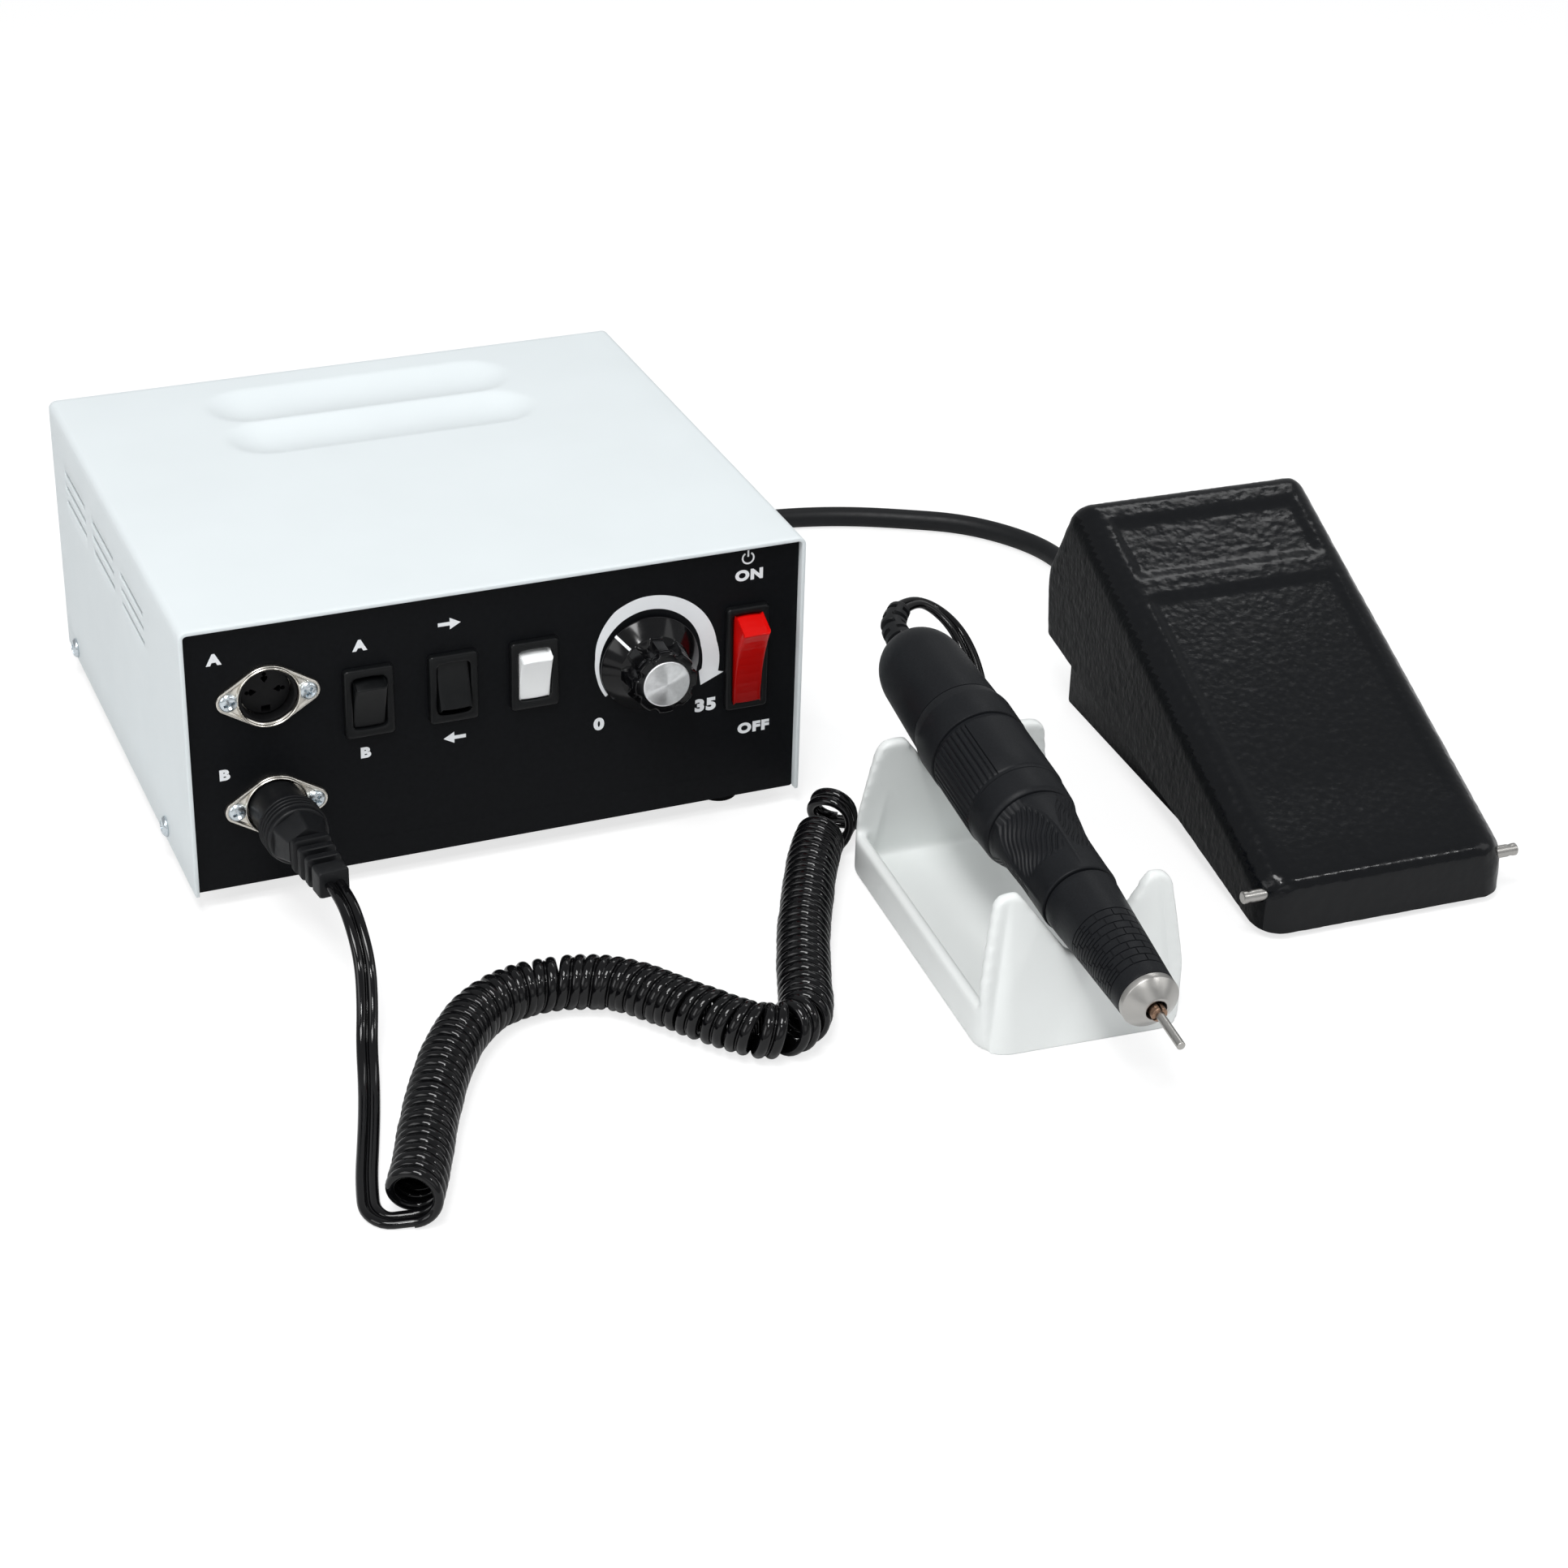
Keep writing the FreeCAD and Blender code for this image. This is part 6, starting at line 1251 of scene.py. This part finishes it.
def hammered(piece):
    """Presses in the foot plate and dimples a casting all over, in the pedal's own frame."""
    mesh = piece.data
    moved = []
    for vertex in mesh.vertices:
        u, v, z = vertex.co
        up, above = slope_place(v, z)
        flare = 2.3 * soft_step(-above, 7) * max(-1.0, min(1.0, (u - pedal_middle) / 25))
        on_top = soft_step(vertex.normal.z - 0.5, 0.4)
        top_grain = (0.04 + 0.08 * soft_step(up - 100, 12)) * (0.5 + noise.noise(vertex.co / 1.7))
        side_grain = 0.14 * (0.5 + noise.noise(Vector((u, v, z * 0.6)) / 2.2))
        depth = on_top * top_grain + (1 - on_top) * side_grain
        if above > -6:
            depth += on_top * plate_depth(u, up)
        moved.append(vertex.co - vertex.normal * depth + Vector((flare, 0, 0)))
    for vertex, point in zip(mesh.vertices, moved):
        vertex.co = point
    mesh.update()


def dress_sides(piece, body, replaced):
    """Glossy hammered paint on top and duller grained paint on the other faces."""
    dress(piece, body, "pedal_paint", replaced, sharp=80)
    piece.data.materials.append(paints["pedal_side"].material)
    for face in piece.data.polygons:
        if abs(face.normal.x) > 0.8 or face.normal.z < -0.3:
            face.material_index = 1


def cushion(profile, rounds, edge, front, width, count=180):
    """Rings of a thick plate with rounded side edges and, by a second radius, rounded front uprights."""
    corners = [np.array(point, float) for point in profile]
    middle = sum(corners) / len(corners)
    centres = []
    for i, corner in enumerate(corners):
        normals = []
        for other in (corners[i - 1], corners[(i + 1) % len(corners)]):
            run = (other - corner) / np.linalg.norm(other - corner)
            normal = np.array((-run[1], run[0]))
            normals.append(normal if normal @ (middle - corner) > 0 else -normal)
        centres.append(corner + np.linalg.solve(np.array(normals), np.full(2, rounds[i])))
    rings = []
    steps = 9
    for side in (0, 1):
        for k in range(steps + 1):
            inward = front * (1 - math.cos(math.pi / 2 * (k if side == 0 else steps - k) / steps))
            reach = edge if inward >= edge else math.sqrt(edge**2 - (edge - inward) ** 2)
            shift = front - math.sqrt(front**2 - (front - inward) ** 2) - (edge - reach)
            circles = []
            for i, (c, r) in enumerate(zip(centres, rounds)):
                circles.append((c[0] + (shift if i < 2 else 0), c[1], r - edge + reach))
            rings.append(round_hull(circles, inward if side == 0 else width - inward, count))
    return rings


def make_treadle():
    """Sloping cast shell, open below, with a bordered foot plate and a cord notch at the rear."""
    profile = [(-0.7, -6), treadle_front, treadle_rear, (153.5, 45.0), (149.0, 9.0)]
    block = skin("pedal_treadle", None, cushion(profile, [4.2, 4.8, 5, 11, 4.2], 4.2, 8.0, pedal_width))
    melt(block, Matrix.Identity(4), 1.1, 3)
    hammered(block)
    work = bmesh.new()
    work.from_mesh(block.data)
    geometry = work.verts[:] + work.edges[:] + work.faces[:]
    rim, downwards = (0, 8.8, 3.5), (0, 22.4, -142.2)
    bmesh.ops.bisect_plane(work, geom=geometry, plane_co=rim, plane_no=downwards, clear_outer=True)
    below = [face for face in work.faces if face.normal.z < -0.5 and face.calc_center_median().z < 6]
    bmesh.ops.delete(work, geom=below, context="FACES")
    work.to_mesh(block.data)
    work.free()
    settle(modify(block, "SOLIDIFY", thickness=1.8, offset=-1))
    pin_hole = [round_hull([(0, 0, 2.0)], x, 32) for x in (-4, 79)]
    cut_away(block, skin("cut", Matrix.Translation((0, *hinge_spot)), pin_hole))
    outline = ((-8.5, 10), (8.5, 10), (8.5, 36), (6.5, 38), (-6.5, 38), (-8.5, 36))
    notch = [[(pedal_middle + x, y, z) for x, z in outline] for y in (140, 160)]
    cut_away(block, skin("cut", None, notch))
    block.data.transform(pedal_place)
    dress_sides(block, "treadle", ["treadle"])


def make_pedal():
    make_treadle()
    base = bevel(cad_copy("pedal_tray", "pedal_base"), 1.2, 30, 3)
    dress_sides(base, "set", ["pedal_base"])

    def crimp(along, radius, angle):
        end = clamp(1 - np.abs(np.abs(along - pedal_width / 2) - 41.6) / 0.9)
        return radius * (1 - 0.12 * end * np.abs(np.sin(angle + 0.5)) ** 3)

    half = [(-6.6, 0), (-6.6, 1.45), (-6.3, 1.78)] + [(-5.9 + 0.3 * k, 1.8) for k in range(12)]
    profile = half + [(pedal_width - x, radius) for x, radius in reversed(half)]
    place = pedal_place @ Matrix.Translation((0, *hinge_spot))
    dress(lathe("pedal_hinge_rod", place, profile, 48, crimp), "set", "steel_bright", ["hinge_pin"], sharp=40)
    make_spring()


def make_spring():
    """Open compression spring under the treadle."""
    turns, steps = 8, 24
    wire, radius, middle_x, middle_y = 0.78, 5.2, 55, 76
    low, high = 2.2 + 0.8, 42.6 - 0.8
    line = []
    for share in np.linspace(0, 1, turns * steps + 1):
        height = low + (high - low) * clamp((share - 0.08) / 0.84)
        angle = 2 * math.pi * turns * share
        spot = (middle_x + radius * math.cos(angle), middle_y + radius * math.sin(angle), height)
        line.append(pedal_place @ Vector(spot))
    line = np.array(line)
    piece = sweep("pedal_spring", line, level_across(line), round_section(wire, 10))
    dress(piece, "set", "steel_bright", ["return_spring"], sharp=60)
    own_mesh(piece)


# Pieces that keep their CAD form


def soft_copies():
    for node, name, body, paint, width in (
        ("mains_inlet", "inlet_moulding", "set", "insulator_black", 0.3),
        ("fuse_holder", "fuse_collar", "set", "insulator_black", 0.4),
        ("fuse_cap", "fuse_screw_cap", "fuse_cap", "insulator_black", 0.25),
        ("unit_gland", "rear_gland", "set", "moulded_black", 0.35),
        ("pedal_gland", "pedal_grommet", "set", "rubber_black", 0.3),
    ):
        dress(bevel(cad_copy(name, node), width, 30), body, paint, [node], sharp=35)


def paint_cad_nodes():
    slots = {part["node"]: part["material_slot"] for part in frame["record"]["subparts"]}
    for node, piece in frame["nodes"].items():
        if piece.hide_render:
            continue
        piece.data.materials.clear()
        piece.data.materials.append(paints[slots[node]].material)


# Floor, backdrop and light


def empty_tree(owner):
    owner.use_nodes = True
    owner.node_tree.nodes.clear()
    return owner.node_tree


def show(tree, output, lit, shown):
    """Ends a tree with a shader for the light and another that only the camera sees."""
    path = add_node(tree, "ShaderNodeLightPath")
    mix = add_node(tree, "ShaderNodeMixShader", Fac=path.outputs["Is Camera Ray"])
    tree.links.new(lit.outputs[0], mix.inputs[1])
    tree.links.new(shown.outputs[0], mix.inputs[2])
    add_node(tree, output, Surface=mix.outputs["Shader"])


def make_floor():
    """Pale paper that glows for the camera, so that only the shadows show on it."""
    size = 1.2
    mesh = bpy.data.meshes.new("floor")
    corners = [(-size, -size, 0), (size, -size, 0), (size, size, 0), (-size, size, 0)]
    mesh.from_pydata(corners, [], [(0, 1, 2, 3)])
    floor = new_object("floor", mesh)
    paper = bpy.data.materials.new("floor_paper")
    tree = empty_tree(paper)
    lit = add_node(tree, "ShaderNodeBsdfDiffuse", Color=(0.74, 0.74, 0.74, 1))
    pale = add_node(tree, "ShaderNodeBsdfDiffuse", Color=(0.34, 0.34, 0.34, 1))
    glow = add_node(tree, "ShaderNodeEmission", Color=(1, 1, 1, 1), Strength=0.74)
    both = add_node(tree, "ShaderNodeAddShader")
    tree.links.new(pale.outputs[0], both.inputs[0])
    tree.links.new(glow.outputs[0], both.inputs[1])
    show(tree, "ShaderNodeOutputMaterial", lit, both)
    mesh.materials.append(paper)


def make_world():
    scene.world = bpy.data.worlds.new("studio")
    tree = empty_tree(scene.world)
    soft = add_node(tree, "ShaderNodeBackground", Color=(0.97, 0.985, 1.0, 1), Strength=0.4)
    white = add_node(tree, "ShaderNodeBackground", Color=(1, 1, 1, 1), Strength=1.0)
    show(tree, "ShaderNodeOutputWorld", soft, white)


def make_lights():
    for name, place, target, size, power in (
        ("light_top", (-0.45, -0.42, 1.45), (0, 0, 0.05), (0.6, 0.45), 12.2),
        ("light_spark", (-0.55, -0.95, 1.3), (0, 0, 0.02), (0.14, 0.14), 3.6),
        ("light_glint", (0.75, -0.9, 1.2), (0, 0, 0.02), (0.14, 0.14), 1.8),
        ("light_left", (-1.5, -0.4, 0.8), (0, 0, 0.05), (0.8, 0.8), 5.0),
        ("light_right", (1.3, -0.7, 0.9), (0.05, 0, 0.05), (0.7, 0.9), 2.3),
        ("light_front", (-0.3, -1.6, 0.6), (0, 0, 0.05), (1.2, 0.5), 1.2),
        ("light_rear", (0.62, 0.55, 1.1), (0.13, 0.03, 0.06), (0.5, 0.22), 1.2),
    ):
        data = bpy.data.lights.new(name, "AREA")
        data.shape = "RECTANGLE"
        data.size, data.size_y = size
        data.energy = power
        light = bpy.data.objects.new(name, data)
        light.location = place
        light.rotation_euler = (Vector(target) - Vector(place)).to_track_quat("-Z", "Y").to_euler()
        scene.collection.objects.link(light)


scene.view_settings.view_transform = "Standard"
make_plug()
make_lead()
make_pedal_cord()
make_cover()
make_panel_border()
make_feet()
make_side_screws()
make_socket("socket_upper", "socket_a", *upper_socket)
make_socket("socket_lower", "socket_b", *lower_socket)
make_insulator("socket_upper_insulator", "socket_a_insulator", *upper_socket)
make_switches()
make_knob()
make_print()
make_handpiece()
make_cradle()
make_pedal()
soft_copies()
paint_cad_nodes()
make_floor()
make_world()
make_lights()
